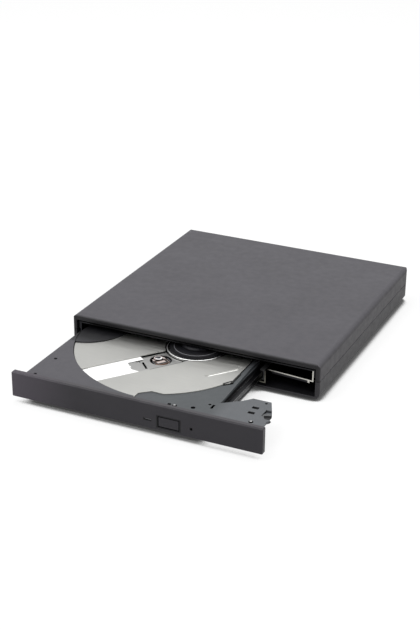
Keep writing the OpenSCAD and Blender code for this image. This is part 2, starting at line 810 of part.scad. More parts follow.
// Pocket of the latch inside the wing: round the pin, and out past the edge
latch_back = 9.8;

module latch_pocket() translate([latch_x, latch_y]) difference() {
    union() {
        circle(2.1 + fit_gap);
        polygon([
            [-2.2, -0.4], [-4.4, 5.4], [-4.1, latch_back], [wing_right - latch_x + eps, latch_back],
            [wing_right - latch_x + eps, 1], [2.2, 0.2]]);
    }
    circle(latch_pin_r);
}

// Window over the hook of the latch
module latch_window() translate([latch_x, latch_y]) polygon([
    [-1.7, 4], [-1.7, latch_back], [wing_right - latch_x + eps, latch_back],
    [wing_right - latch_x + eps, 1.6], [1, 1.6]]);

// Holes as x, y, radius, and slots as x, y, width, length
wing_holes = [
    [wing_right - 8.7, wing_d - 2, 0.7], [wing_right - 2.8, 7.9, 0.6]];
wing_slots = [
    [wing_right - 11.5, latch_y + 9.6, 3.2, 2], [wing_right - 11.4, latch_y + 4.5, 3.2, 2]];
rivet_spots = [[deck_right - 17.6, 9.1], [wing_right - 8.2, 10.1]];
rivet_r = 0.7;
deck_holes = [[deck_right - 20.4, 9.3, 0.9], [deck_right - 9.2, 11, 1.1], [deck_right - 3.6, 17, 0.7]];
deck_slots = [[deck_right - 1.6, 15.6, 1.2, 3.8]];
rim_holes = [[deck_left + 4.9, 25, 0.9], [deck_left + 4.5, 7, 0.8]];

module sled_channel() translate([hub_x, hub_y]) rotate(slot_angle)
    rect(0, rod_out + 0.6, slot_low - channel_gap, slot_high + channel_gap);

module tray_posts() {
    translate([0, 0, z_body]) for (p = skin_spots) translate(p)
        cylinder(r = skin_boss_r, h = z_deck_low - z_body + 0.1);
    translate([0, 0, z_frame_top + frame_t / 2]) for (p = damper_spots) translate(p)
        cylinder(r = skin_boss_r, h = z_deck_low - z_frame_top - frame_t / 2 + 0.1);
    translate([0, 0, z_main_board + board_t]) for (p = main_board_spots) translate(p)
        cylinder(r = post_small_r, h = z_deck_low - z_main_board - board_t + 0.1);
    translate([0, 0, z_main_board + board_t]) for (p = switch_spots) translate(p)
        cylinder(r = post_small_r, h = z_deck_low - z_main_board - board_t + 0.1);
    box([side_left, pusher_block_y, pusher_z - collar_r],
        [pusher_x + collar_r, pusher_block_y + pusher_block_d, z_deck_low + 0.1]);
}

module tray_walls() difference() {
    union() {
        box([side_left, front_wall_y, z_body], [side_left + tray_wall, tray_d, z_deck_low + 0.1]);
        box([side_right - tray_wall, front_wall_y, z_body], [side_right, tray_d, z_deck_low + 0.1]);
        box([side_left, front_wall_y, z_body], [side_right, front_wall_end, z_deck_low + 0.1]);
        box([side_left, rear_wall_y, z_body], [side_right, tray_d, z_deck_low + 0.1]);
        tongue_z = z_rail + rail_t + slide_gap;
        tongue_reach = rail_zone - guide_t - rail_t - 2 * slide_gap - 0.1;
        box([side_left - tongue_reach, front_wall_y, tongue_z],
            [side_left + 0.1, tray_d - 3, tongue_z + tongue_h]);
        box([side_right - 0.1, front_wall_y, tongue_z],
            [side_right + tongue_reach, tray_d - 3, tongue_z + tongue_h]);
    }
    box([button_x - 14, bezel_t - eps, z_body - eps],
        [button_x + 14, front_wall_end + eps, z_deck_low + 0.1]);
    box([flex_lane - fit_gap, rear_wall_y - eps, z_main_board + board_t - fit_gap],
        [flex_lane + flex_w + fit_gap, tray_d + eps, z_main_board + board_t + 1]);
}

module tray_frame() color("#55585b") in_tray() difference() {
    union() {
        translate([0, 0, z_deck_low]) linear_extrude(deck_t) difference() {
            union() {
                tray_rect(0);
                wing();
            }
            difference() {
                plate_zone(-ledge);
                ear_circle(0);
                bump(0);
            }
            sled_channel();
            for (p = deck_holes) translate([p[0], p[1]]) circle(p[2], $fn = 24);
            for (p = deck_slots) rect(p[0] - p[2] / 2, p[0] + p[2] / 2, p[1] - p[3] / 2, p[1] + p[3] / 2);
            plate_slit();
        }
        translate([0, 0, z_deck - 0.05]) linear_extrude(deck_drop + 0.05) difference() {
            union() {
                rect(deck_left, bump_x, bezel_t, hub_y);
                rect(deck_left, deck_right - slant, hub_y, tray_d);
            }
            disc_circle(well_r);
        }
        translate([0, 0, z_deck - 0.05]) linear_extrude(0.95) intersection() {
            ear_circle(0);
            tray_rect(0);
        }
        tray_walls();
        tray_posts();
        for (p = rivet_spots) translate([p[0], p[1], z_deck - 0.1]) cylinder(r = rivet_r, h = 0.5);
    }
    translate([0, 0, z_deck_low + latch_floor]) linear_extrude(deck_t - latch_floor - latch_skin)
        latch_pocket();
    translate([0, 0, z_deck - latch_skin - 0.1]) linear_extrude(deck_t) latch_window();
    for (p = rivet_spots) translate([p[0], p[1], z_deck - 0.8]) difference() {
        cylinder(r = rivet_r + 0.45, h = 2);
        cylinder(r = rivet_r, h = 2);
    }
    translate([0, 0, z_deck_low - eps]) for (p = rim_holes) translate([p[0], p[1]])
        cylinder(r = p[2], h = 6, $fn = 24);
    for (p = concat(skin_spots, damper_spots)) translate([p[0], p[1], z_body - eps])
        cylinder(r = 0.9 + shaft_gap, h = z_deck_low - z_body + eps);
    for (p = concat(main_board_spots, switch_spots)) translate([p[0], p[1], z_body - eps])
        cylinder(r = 0.7 + shaft_gap, h = z_deck_low - z_body - 1 + eps);
    translate([pusher_x, pusher_block_y - eps, pusher_z]) rotate([-90, 0, 0])
        cylinder(r = pusher_r + 0.05, h = tray_d);
}

module bezel_outline() difference() {
    rect(-bezel_w / 2, bezel_w / 2, 0, bezel_h);
    for (s = [0, 1], t = [0, 1]) mirror([s, 0]) translate([-bezel_w / 2, t * bezel_h]) mirror([0, t])
        corner_cut(bezel_round);
}

button_z = bezel_mid - 2.05;
lamp_x = button_x - button_w / 2 - 5.6;
pin_hole_x = button_x + 11.3;

module front_bezel() color("#2e2d31") in_tray() difference() {
    translate([0, 0, z_bezel]) along_y(bezel_t) bezel_outline();
    box([button_x - button_w / 2 - button_gap, -eps, button_z - button_h / 2 - button_gap],
        [button_x + button_w / 2 + button_gap, bezel_t + eps, button_z + button_h / 2 + button_gap]);
    translate([-bezel_w / 2 - eps, 0, z_bezel + bezel_h]) rotate([90, 0, 90])
        linear_extrude(bezel_w + 2 * eps)
        polygon([[-eps, -bezel_chamfer - eps], [bezel_chamfer + eps, eps], [-eps, eps]]);
    box([lamp_x - lamp_w / 2, -eps, button_z - lamp_h / 2],
        [lamp_x + lamp_w / 2, bezel_t + eps, button_z + lamp_h / 2]);
    translate([pin_hole_x, -eps, button_z]) rotate([-90, 0, 0])
        cylinder(d = pin_hole_d, h = bezel_t + 2 * eps);
}

module lamp_lens() color("#3b4238") in_tray() {
    g = 0.1;
    box([lamp_x - lamp_w / 2 + g, 0.4, button_z - lamp_h / 2 + g],
        [lamp_x + lamp_w / 2 - g, bezel_t + 0.1, button_z + lamp_h / 2 - g]);
    box([lamp_x - lamp_w / 2 - 0.8, bezel_t, button_z - lamp_h / 2 - 0.8],
        [lamp_x + lamp_w / 2 + 0.8, bezel_t + 0.5, button_z + lamp_h / 2 + 0.8]);
}

stop_t = 0.7;
stop_over = 0.8;
plunger_len = 3.6;

module eject_button() color("#2a292d") in_tray() {
    box([button_x - button_w / 2, 0.1, button_z - button_h / 2],
        [button_x + button_w / 2, bezel_t + 0.2, button_z + button_h / 2]);
    box([button_x - button_w / 2 - stop_over, bezel_t + 0.1, button_z - button_h / 2],
        [button_x + button_w / 2 + stop_over, bezel_t + 0.1 + stop_t,
            button_z + button_h / 2 + stop_over * 0.6]);
    translate([button_x, bezel_t, button_z]) rotate([-90, 0, 0]) cylinder(r = 1.2, h = plunger_len);
}

module switch_board() color("#2f6b45") in_tray() difference() {
    box([button_x - 16, front_wall_end + 2, z_main_board],
        [button_x + 9, front_wall_end + 9.6, z_main_board + board_t]);
    for (p = switch_spots) translate([p[0], p[1], z_main_board - eps])
        cylinder(r = 0.7 + shaft_gap, h = board_t + 2 * eps);
}

module eject_switch() color("#222224") in_tray() {
    y0 = bezel_t + plunger_len + button_travel + 0.1;
    box([button_x - 3, y0 + 0.6, z_main_board + board_t], [button_x + 3, y0 + 3.6, button_z + 1.8]);
    translate([button_x, y0, button_z]) rotate([-90, 0, 0]) cylinder(r = 1, h = 0.8);
}

// Silver plate over the traverse
module traverse_cover() color("#b9b9b5") in_tray() {
    translate([0, 0, z_deck]) linear_extrude(plate_t) difference() {
        union() {
            plate_zone(0);
            plate_tab();
        }
        ear_circle(fit_gap);
        bump(fit_gap);
        translate([hub_x, hub_y]) rotate(slot_angle) rect(0, well_r + eps, slot_low, slot_high);
        disc_circle(rotor_r + hub_hole_gap);
    }
    translate([strip_x - 8.5, hub_y - 19.9, z_plate - 0.1]) rotate(51)
        box([-8.7, -0.4, 0], [8.7, 0.4, 0.4]);
}

module tray_bottom_cover() color("#b4b3ad") in_tray() translate([0, 0, z_skin]) linear_extrude(skin_t)
    difference() {
    rect(side_left, side_right, front_wall_y, tray_d);
    for (p = skin_spots) translate(p) circle(0.9 + shaft_gap);
}

// Traverse frame, clipped to the inside of the tray
module traverse_area() intersection() {
    rect(side_left + tray_wall + 0.8, side_right - tray_wall - 0.6, front_wall_end + 0.6,
        rear_wall_y - 0.6);
    union() {
        disc_circle(19);
        translate([hub_x, hub_y])
            rotate(slot_angle) rect(-12, rod_out + 1, screw_n - 3.2, window_high + 4);
        for (p = damper_spots) translate(p) circle(4.2);
        rect(hub_x, damper_spots[0][0], damper_spots[0][1] - 4, damper_spots[0][1] + 4);
        rect(damper_spots[1][0], hub_x, damper_spots[1][1] - 4, damper_spots[1][1] + 4);
    }
}

module traverse_frame() color("#8f8f8c") in_tray() {
    difference() {
        translate([0, 0, z_frame]) linear_extrude(frame_t) difference() {
            traverse_area();
            translate([hub_x, hub_y]) rotate(slot_angle)
                rect(rod_in + rest_d, rod_out - rest_d, window_low, window_high);
            for (p = damper_spots) translate(p) circle(2.3);
            disc_circle(bearing_r + fit_gap);
            for (p = skin_spots) translate(p) circle(skin_boss_r + 0.6);
            for (p = switch_spots) translate(p) circle(post_small_r + 0.6);
        }
    }
    translate([hub_x, hub_y, 0]) rotate(slot_angle) difference() {
        union() {
            for (n = [main_rod_n, sub_rod_n], u = [rod_in, rod_out - rest_d])
                if (!(n == sub_rod_n && u > rod_in))
                    box([u, n - rest_w / 2, z_frame_top - 0.1], [u + rest_d, n + rest_w / 2, z_axis]);
            box([screw_in - 2, screw_n - 2.4, z_frame_top - 0.1],
                [screw_in, screw_n + 2.4, z_axis + 1.6]);
        }
        for (n = [main_rod_n, sub_rod_n]) translate([0, n, z_axis]) rotate([0, 90, 0])
            cylinder(r = rod_r + 0.02, h = rod_out + eps);
        translate([screw_in - 2 - eps, screw_n, z_axis]) rotate([0, 90, 0])
            cylinder(r = journal_r + shaft_gap, h = 4);
    }
}

module rubber_dampers() color("#232324") in_tray() for (p = damper_spots) translate([p[0], p[1], 0])
    rotate_extrude() polygon([
        [1.1, z_frame - frame_t / 2], [3, z_frame - frame_t / 2], [3, z_frame - 0.05],
            [2.2, z_frame - 0.05],
        [2.2, z_frame_top + 0.05], [3, z_frame_top + 0.05], [3, z_frame_top + frame_t / 2],
            [1.1, z_frame_top + frame_t / 2]]);

module damper_screws() color("#8c8c90") in_tray()
    for (p = damper_spots)
        translate([p[0], p[1], z_frame - frame_t / 2 - 0.5]) screw_up(2.2, 0.5, 0.9, 4.2);

sub_rod_out = rod_out - 7;

module main_rod() color("#c9cacb") on_slot() translate([rod_in, main_rod_n, z_axis]) rotate([0, 90, 0])
    cylinder(r = rod_r, h = rod_out - rod_in);

module sub_rod() color("#c9cacb") on_slot() translate([rod_in, sub_rod_n, z_axis]) rotate([0, 90, 0])
    cylinder(r = rod_r, h = sub_rod_out - rod_in);

screw_r_lead = screw_d / 2;
journal_r = 0.8;
screw_in = 19;

module sled_motor() color("#8a8a88") on_slot() translate([motor_in, screw_n, z_axis]) difference() {
    intersection() {
        rotate([0, 90, 0]) cylinder(r = 3.1, h = motor_len);
        box([-eps, -4, -axis_lift], [motor_len + eps, 4, axis_lift]);
    }
    translate([-eps, 0, 0]) rotate([0, 90, 0]) cylinder(r = journal_r + shaft_gap, h = 3 + eps);
}

module lead_screw() color("#b5a36a") on_slot() translate([0, screw_n, z_axis]) rotate([0, 90, 0]) {
    translate([0, 0, screw_in - 1.8]) cylinder(r = journal_r, h = motor_in + 2.6 - screw_in + 1.8);
    translate([0, 0, screw_in + 0.2]) cylinder(r = screw_r_lead, h = motor_in - screw_in - 0.4);
}

// Spindle
base_r = 13;
base_t = 0.5;

module spindle_base() color("#3b6b4a") at_hub() translate([0, 0, z_frame_top]) difference() {
    cylinder(r = base_r, h = base_t);
    translate([0, 0, -eps]) cylinder(r = bearing_r + 0.05, h = 3);
}

z_bearing_top = z_table - rotor_sheet - 0.2;

module spindle_bearing() color("#b08d57") at_hub() difference() {
    translate([0, 0, z_frame]) cylinder(r = bearing_r, h = z_bearing_top - z_frame);
    translate([0, 0, z_frame + 0.5]) cylinder(r = spindle_r + shaft_gap, h = 10);
}

stator_teeth = 9;

module spindle_stator() color("#9c5a2c") at_hub() translate([0, 0, z_frame_top + base_t]) difference() {
    union() {
        cylinder(r = 6, h = 2.2);
        for (i = [0 : stator_teeth - 1]) rotate(i * 360 / stator_teeth) box([5, -1.2, 0],
            [rotor_r - 2.2, 1.2, 2.2]);
    }
    translate([0, 0, -eps]) cylinder(r = bearing_r + 0.05, h = 6);
}

module spindle_rotor() color("#c4c4c2") at_hub() difference() {
    translate([0, 0, z_frame_top + base_t + 0.6])
        cylinder(r = rotor_r, h = z_table + rotor_lip - z_frame_top - base_t - 0.6);
    translate([0, 0, z_frame_top]) cylinder(r = rotor_r - 1, h = z_table - rotor_sheet - z_frame_top);
    translate([0, 0, z_table]) cylinder(r = table_r + 0.05, h = 4);
    cylinder(r = spindle_r + 0.02, h = 40);
}

module spindle_shaft() color("#d0d0d0") at_hub() translate([0, 0, z_frame + 0.7])
    cylinder(r = spindle_r, h = z_hub_top - 0.3 - z_frame - 0.7);

module turntable() color("#1b1b1d") at_hub() difference() {
    union() {
        translate([0, 0, z_table]) cylinder(r = table_r, h = table_t);
        translate([0, 0, z_table]) cylinder(r = hub_r + shoulder_w, h = z_seat - z_table);
        translate([0, 0, z_table]) cylinder(r = hub_r, h = z_hub_top - nose_cone - z_table);
        translate([0, 0, z_hub_top - nose_cone]) cylinder(r1 = hub_r, r2 = hub_r - 0.8, h = nose_cone);
    }
    for (i = [0 : 2]) rotate(jaw_angle + i * 120) {
        box([jaw_in - jaw_travel - fit_gap, -jaw_w / 2 - slide_gap, z_seat + jaw_foot - slide_gap],
            [hub_r + eps, jaw_w / 2 + slide_gap, z_hub_top + eps]);
    }
    cylinder(r = spindle_r + 0.02, h = 40);
}

module turntable_ring() color("#2a2a2b") at_hub() translate([0, 0, z_seat - ring_t]) difference() {
    cylinder(r = table_r - 0.3, h = ring_t);
    translate([0, 0, -eps]) cylinder(r = table_r - 0.3 - ring_w, h = 3);
}

// Clamp jaw: slides in its pocket, with its nose over the edge of the disc
module hub_jaw(i) color("#303033") at_hub() rotate(jaw_angle + i * 120) {
    box([jaw_in, -jaw_w / 2, z_seat + jaw_foot], [hub_r, jaw_w / 2, z_hub_top]);
    box([hub_r - 0.1, -jaw_w / 2 + 0.4, z_seat + disc_t + 0.05],
        [hub_r + jaw_nose, jaw_w / 2 - 0.4, z_hub_top - 0.1]);
}

module hub_jaw_a() hub_jaw(0);

module hub_jaw_b() hub_jaw(1);

module hub_jaw_c() hub_jaw(2);

// Pickup
nose_t = 1.6;
nose_d = 6.9;
nose_step = nose_d - 1.8;
z_boss_top = z_deck_low - 0.3;
lens_n = 0.6;
sled_gap = 0.5;
pocket_n = 3.2;
pocket_r = 5.4;

module sled_plan() difference() {
    rect(sled_in - 1, sled_out, slot_low + channel_gap, slot_high - channel_gap);
    circle(rotor_r + sled_gap);
}

// Stepped nose at the outer end of the sled, grown by g
module nose_plan(g) polygon([
    [sled_out - 1, slot_low + channel_gap - g], [sled_out + nose_step - 0.3 + g, slot_low + 1.1 - g],
    [sled_out + nose_step + g, slot_low + 4.3], [sled_out + nose_d + g, slot_low + 7.2],
    [sled_out + nose_d / 2 + g, slot_high - 2.6 + g], [sled_out - 1, slot_high - channel_gap + g]]);

// Long hole across the outer end of the sled's cover
module sled_hole() translate([sled_out, slot_low])
    polygon([[-1.8, 5], [-0.7, 5], [0.5, 12.1], [-0.6, 12.1]]);

// Opening round the lens
module lens_pocket() translate([lens_r, pocket_n]) circle(pocket_r);

module pickup_sled() color("#4a4a4c") on_slot() difference() {
    union() {
        translate([0, 0, z_sled]) linear_extrude(z_sled_top - z_sled) intersection() {
            sled_plan();
            rect(rod_in + rest_d + 0.4, sled_out, slot_low, slot_high);
        }
        translate([0, 0, z_frame_top + 0.6]) linear_extrude(z_sled_top - z_frame_top - 0.6) sled_plan();
        translate([0, 0, z_sled_top - nose_t]) linear_extrude(nose_t) nose_plan(0);
        box([sled_in + 5, main_rod_n - rod_r - 1.2, z_axis - rod_r - 0.7],
            [sled_out - 1, slot_low + 1, z_boss_top]);
        box([sled_in + 8, slot_high - 1, z_axis - rod_r - 0.7],
            [sled_in + 13, sub_rod_n + rod_r + 0.7, z_boss_top]);
        box([screw_in + 0.6, screw_n - 1, z_axis + screw_r_lead + 0.25],
            [motor_in - sled_travel - 0.6, main_rod_n, z_boss_top]);
    }
    translate([0, main_rod_n, z_axis]) rotate([0, 90, 0]) cylinder(r = rod_r + shaft_gap, h = 99);
    translate([0, sub_rod_n, z_axis]) rotate([0, 90, 0]) cylinder(r = rod_r + shaft_gap, h = 99);
    translate([0, 0, z_sled + 1.2]) linear_extrude(20) lens_pocket();
    translate([0, 0, z_sled_top - nose_t / 2]) linear_extrude(20) sled_hole();
}

module pickup_cover() color("#b4b4b0") on_slot() translate([0, 0, z_sled_top])
    linear_extrude(cover_sheet) difference() {
    union() {
        sled_plan();
        nose_plan(0);
    }
    lens_pocket();
    sled_hole();
}

ribbon_t = 0.15;
ribbon_gap = 0.1;
ribbon_edge = 0.2;
ribbon_side = 1.4;
ribbon_tail = 6.8;
ribbon_drop = 0.2;

// Flat cable from the pickup to the outer end of its slot, and down inside the tray
module pickup_cable() color("#ecebe6") on_slot() {
    low = slot_low + ribbon_edge;
    z_top = z_deck - ribbon_drop;
    z_nose = z_sled_top + cover_sheet;
    translate([0, 0, z_top - ribbon_t]) linear_extrude(ribbon_t) difference() {
        union() {
            rect(sled_out + ribbon_gap, well_r + 1, low, slot_high - ribbon_edge);
            rect(sled_out + ribbon_gap, well_r - ledge - 1.6, low - ribbon_side, low + eps);
            rect(well_r, rod_out, low, low + ribbon_tail);
        }
        nose_plan(ribbon_gap);
    }
    box([sled_out + nose_d - 0.8, slot_low + 6.4, z_nose],
        [sled_out + nose_d + 0.6, slot_low + 7.8, z_top]);
    box([rod_out - ribbon_t, low, z_axis + 0.2], [rod_out, low + ribbon_tail, z_top]);
}

holder_h = 2.6;

module lens_holder() color("#202022") on_slot() {
    z_holder = z_sled_top - holder_h + 0.4;
    difference() {
        union() {
            box([lens_r - 3.2, lens_n - 0.6, z_holder],
                [lens_r + 3.2, pocket_n + 3.2, z_holder + holder_h - 0.5]);
            translate([lens_r, lens_n, z_holder]) cylinder(d = lens_d + 1.2, h = holder_h);
        }
        translate([lens_r, lens_n, z_holder - eps]) cylinder(d = lens_d - 0.8, h = 9);
        translate([lens_r, lens_n, z_holder + holder_h - 0.6]) cylinder(d = lens_d + 0.04, h = 9);
    }
}

module objective_lens() color("#7d8fa3", 0.6) on_slot()
    translate([lens_r, lens_n, z_sled_top + 0.4 - 0.6]) rotate_extrude() {
        square([lens_d / 2, 0.5]);
        intersection() {
            translate([0, 0.5 - 2.9]) circle(3.3);
            translate([0, 0.4]) square([lens_d / 2 - 0.4, 1]);
        }
    }

// Latch, solenoid and pusher
lever_t = deck_t - latch_floor - latch_skin - 0.2;

module latch_lever() color("#3c3e41") in_tray()
    translate([latch_x, latch_y, z_deck_low + latch_floor + 0.1])
    rotate(latch_turn)
    difference() {
        union() {
            cylinder(r = 1.9, h = lever_t);
            linear_extrude(lever_t) polygon([
                [-0.8, 0], [1.2, 0], [1.2, 5], [4.6, 5], [4.2, 6.5], [-0.8, 6.5]]);
        }
        translate([0, 0, -eps]) cylinder(r = latch_pin_r + shaft_gap, h = 5);
    }

module latch_solenoid() color("#7c5a2e") in_tray() {
    x0 = side_right - tray_wall - 13;
    box([x0, front_wall_end + 12, z_deck_low - 5], [x0 + 12, front_wall_end + 20, z_deck_low]);
}

module eject_pusher() color("#d8d6cc") in_tray() translate([pusher_x, 0, pusher_z]) rotate([-90, 0, 0]) {
    translate([0, 0, pusher_block_y - pusher_tail])
        cylinder(r = pusher_r, h = pusher_tip - pusher_block_y + pusher_tail);
    translate([0, 0, collar_y]) cylinder(r = collar_r, h = collar_t);
}

// Spring coil round the pusher: one wire swept along a helix, with a ring of points at each step
spring_turns = 7;
spring_steps = 8;
wire_r = 0.25;
wire_sides = 6;
coil_r = pusher_r + 0.3 + wire_r;
spring_y0 = pusher_block_y + pusher_block_d + wire_r + 0.05;
spring_y1 = collar_y - wire_r - 0.05;

function coil_point(i, k) =
    let (
        a = i * 360 / spring_steps,
        b = k * 360 / wire_sides,
        r = coil_r + wire_r * cos(b))
    [r * cos(a),
     spring_y0 + (spring_y1 - spring_y0) * i / (spring_turns * spring_steps) + wire_r * sin(b),
     r * sin(a)];

module eject_spring() color("#c4c5c6") in_tray() translate([pusher_x, 0, pusher_z]) {
    rings = spring_turns * spring_steps;
    points = [for (i = [0 : rings], k = [0 : wire_sides - 1]) coil_point(i, k)];
    sides = [for (i = [0 : rings - 1], k = [0 : wire_sides - 1])
        let (a = i * wire_sides + k, b = i * wire_sides + (k + 1) % wire_sides) [a, b, b + wire_sides,
            a + wire_sides]];
    tris = [for (f = sides) each [[f[0], f[1], f[2]], [f[0], f[2], f[3]]]];
    start = [for (k = [1 : wire_sides - 2]) [0, k + 1, k]];
    last = rings * wire_sides;
    finish = [for (k = [1 : wire_sides - 2]) [last, last + k, last + k + 1]];
    polyhedron(points, concat(tris, start, finish));
}

main_right = side_right - tray_wall - 0.8;

module main_board() color("#2f6b45") in_tray() difference() {
    box([side_left + 11, hub_y + 25, z_main_board],
        [main_right, rear_wall_y - 0.3, z_main_board + board_t]);
    for (p = main_board_spots) translate([p[0], p[1], z_main_board - eps])
        cylinder(r = 0.7 + shaft_gap, h = 4);
    translate([skin_spots[3][0], skin_spots[3][1], z_main_board - eps])
        cylinder(r = skin_boss_r + 0.5, h = 4);
}

module main_board_chips() color("#1d1d1f") in_tray() translate([0, 0, z_main_board + board_t]) {
    box([hub_x - 24, hub_y + 28, 0], [hub_x - 12, hub_y + 40, 1.2]);
    box([main_right - 23.5, hub_y + 28, 0], [main_right - 15.5, hub_y + 36, 1]);
    box([main_right - 12.5, hub_y + 30, 0], [main_right - 6.5, hub_y + 35, 1.4]);
}

module tray_screws() color("#8c8c90") in_tray() {
    for (p = skin_spots) translate([p[0], p[1], z_skin - 0.2]) screw_up(1.8, 0.2, 0.9, 4);
    for (p = concat(main_board_spots, switch_spots)) translate([p[0], p[1], z_main_board - 0.25])
        screw_up(1.5, 0.25, 0.7, 3.6);
}

upper_shell();
lower_shell();
rubber_feet();
shell_screws();
drive_chassis();
drive_top_cover();
cover_screws();
left_rail_guide();
right_rail_guide();
latch_post();
rear_board();
rear_connector();
flex_cable();
bridge_board();
bridge_chips();
bridge_board_screws();
link_connector();
usb_socket();
usb_contacts();
power_jack();
power_jack_pin();
tray_frame();
front_bezel();
lamp_lens();
traverse_cover();
tray_bottom_cover();
tray_screws();
traverse_frame();
rubber_dampers();
damper_screws();
main_rod();
sub_rod();
sled_motor();
spindle_base();
spindle_bearing();
spindle_stator();
main_board();
main_board_chips();
switch_board();
eject_switch();
latch_solenoid();
eject_spring();
pickup_cable();
left_slide_rail();
right_slide_rail();
eject_button();
latch_lever();
eject_pusher();
spindle_rotor();
spindle_shaft();
turntable();
turntable_ring();
hub_jaw_a();
hub_jaw_b();
hub_jaw_c();
pickup_sled();
pickup_cover();
lens_holder();
objective_lens();
lead_screw();
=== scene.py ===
"""Looks for an external disc drive with its tray part way out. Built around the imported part, in metres."""

import math

import bmesh
import bpy
from mathutils import Matrix, Vector


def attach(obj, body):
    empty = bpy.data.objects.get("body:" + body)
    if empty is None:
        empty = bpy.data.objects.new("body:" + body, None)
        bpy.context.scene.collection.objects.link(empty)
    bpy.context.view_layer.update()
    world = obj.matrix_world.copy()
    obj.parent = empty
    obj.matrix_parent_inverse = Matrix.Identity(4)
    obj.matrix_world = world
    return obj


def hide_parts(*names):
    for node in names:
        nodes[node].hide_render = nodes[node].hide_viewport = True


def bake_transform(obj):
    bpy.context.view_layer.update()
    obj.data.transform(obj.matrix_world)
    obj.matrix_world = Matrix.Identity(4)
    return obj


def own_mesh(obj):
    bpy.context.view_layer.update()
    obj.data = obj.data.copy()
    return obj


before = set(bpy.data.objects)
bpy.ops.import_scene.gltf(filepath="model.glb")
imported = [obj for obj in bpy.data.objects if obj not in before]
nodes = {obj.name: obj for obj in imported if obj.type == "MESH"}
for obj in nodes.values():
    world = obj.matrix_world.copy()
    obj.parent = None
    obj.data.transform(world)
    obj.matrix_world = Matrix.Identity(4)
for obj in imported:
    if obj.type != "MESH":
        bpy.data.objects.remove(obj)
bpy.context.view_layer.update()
scene = bpy.context.scene
MM = 0.001


# Node helpers

SOFT, SHARP = 0.0002, 0.0001  # half widths of the edges of a mask, in metres
EDGE_DOT, FACE_DOT = 0.75, 0.995  # how far a rounded normal agrees with the plain one, at an edge or face
EDGE_SAMPLES, HOLLOW_SAMPLES = 4, 8


def fill(node, **values):
    """Sets sockets of a node by name, with _ for a space, and returns the node."""
    for key, value in values.items():
        node.inputs[key.replace("_", " ")].default_value = value
    return node


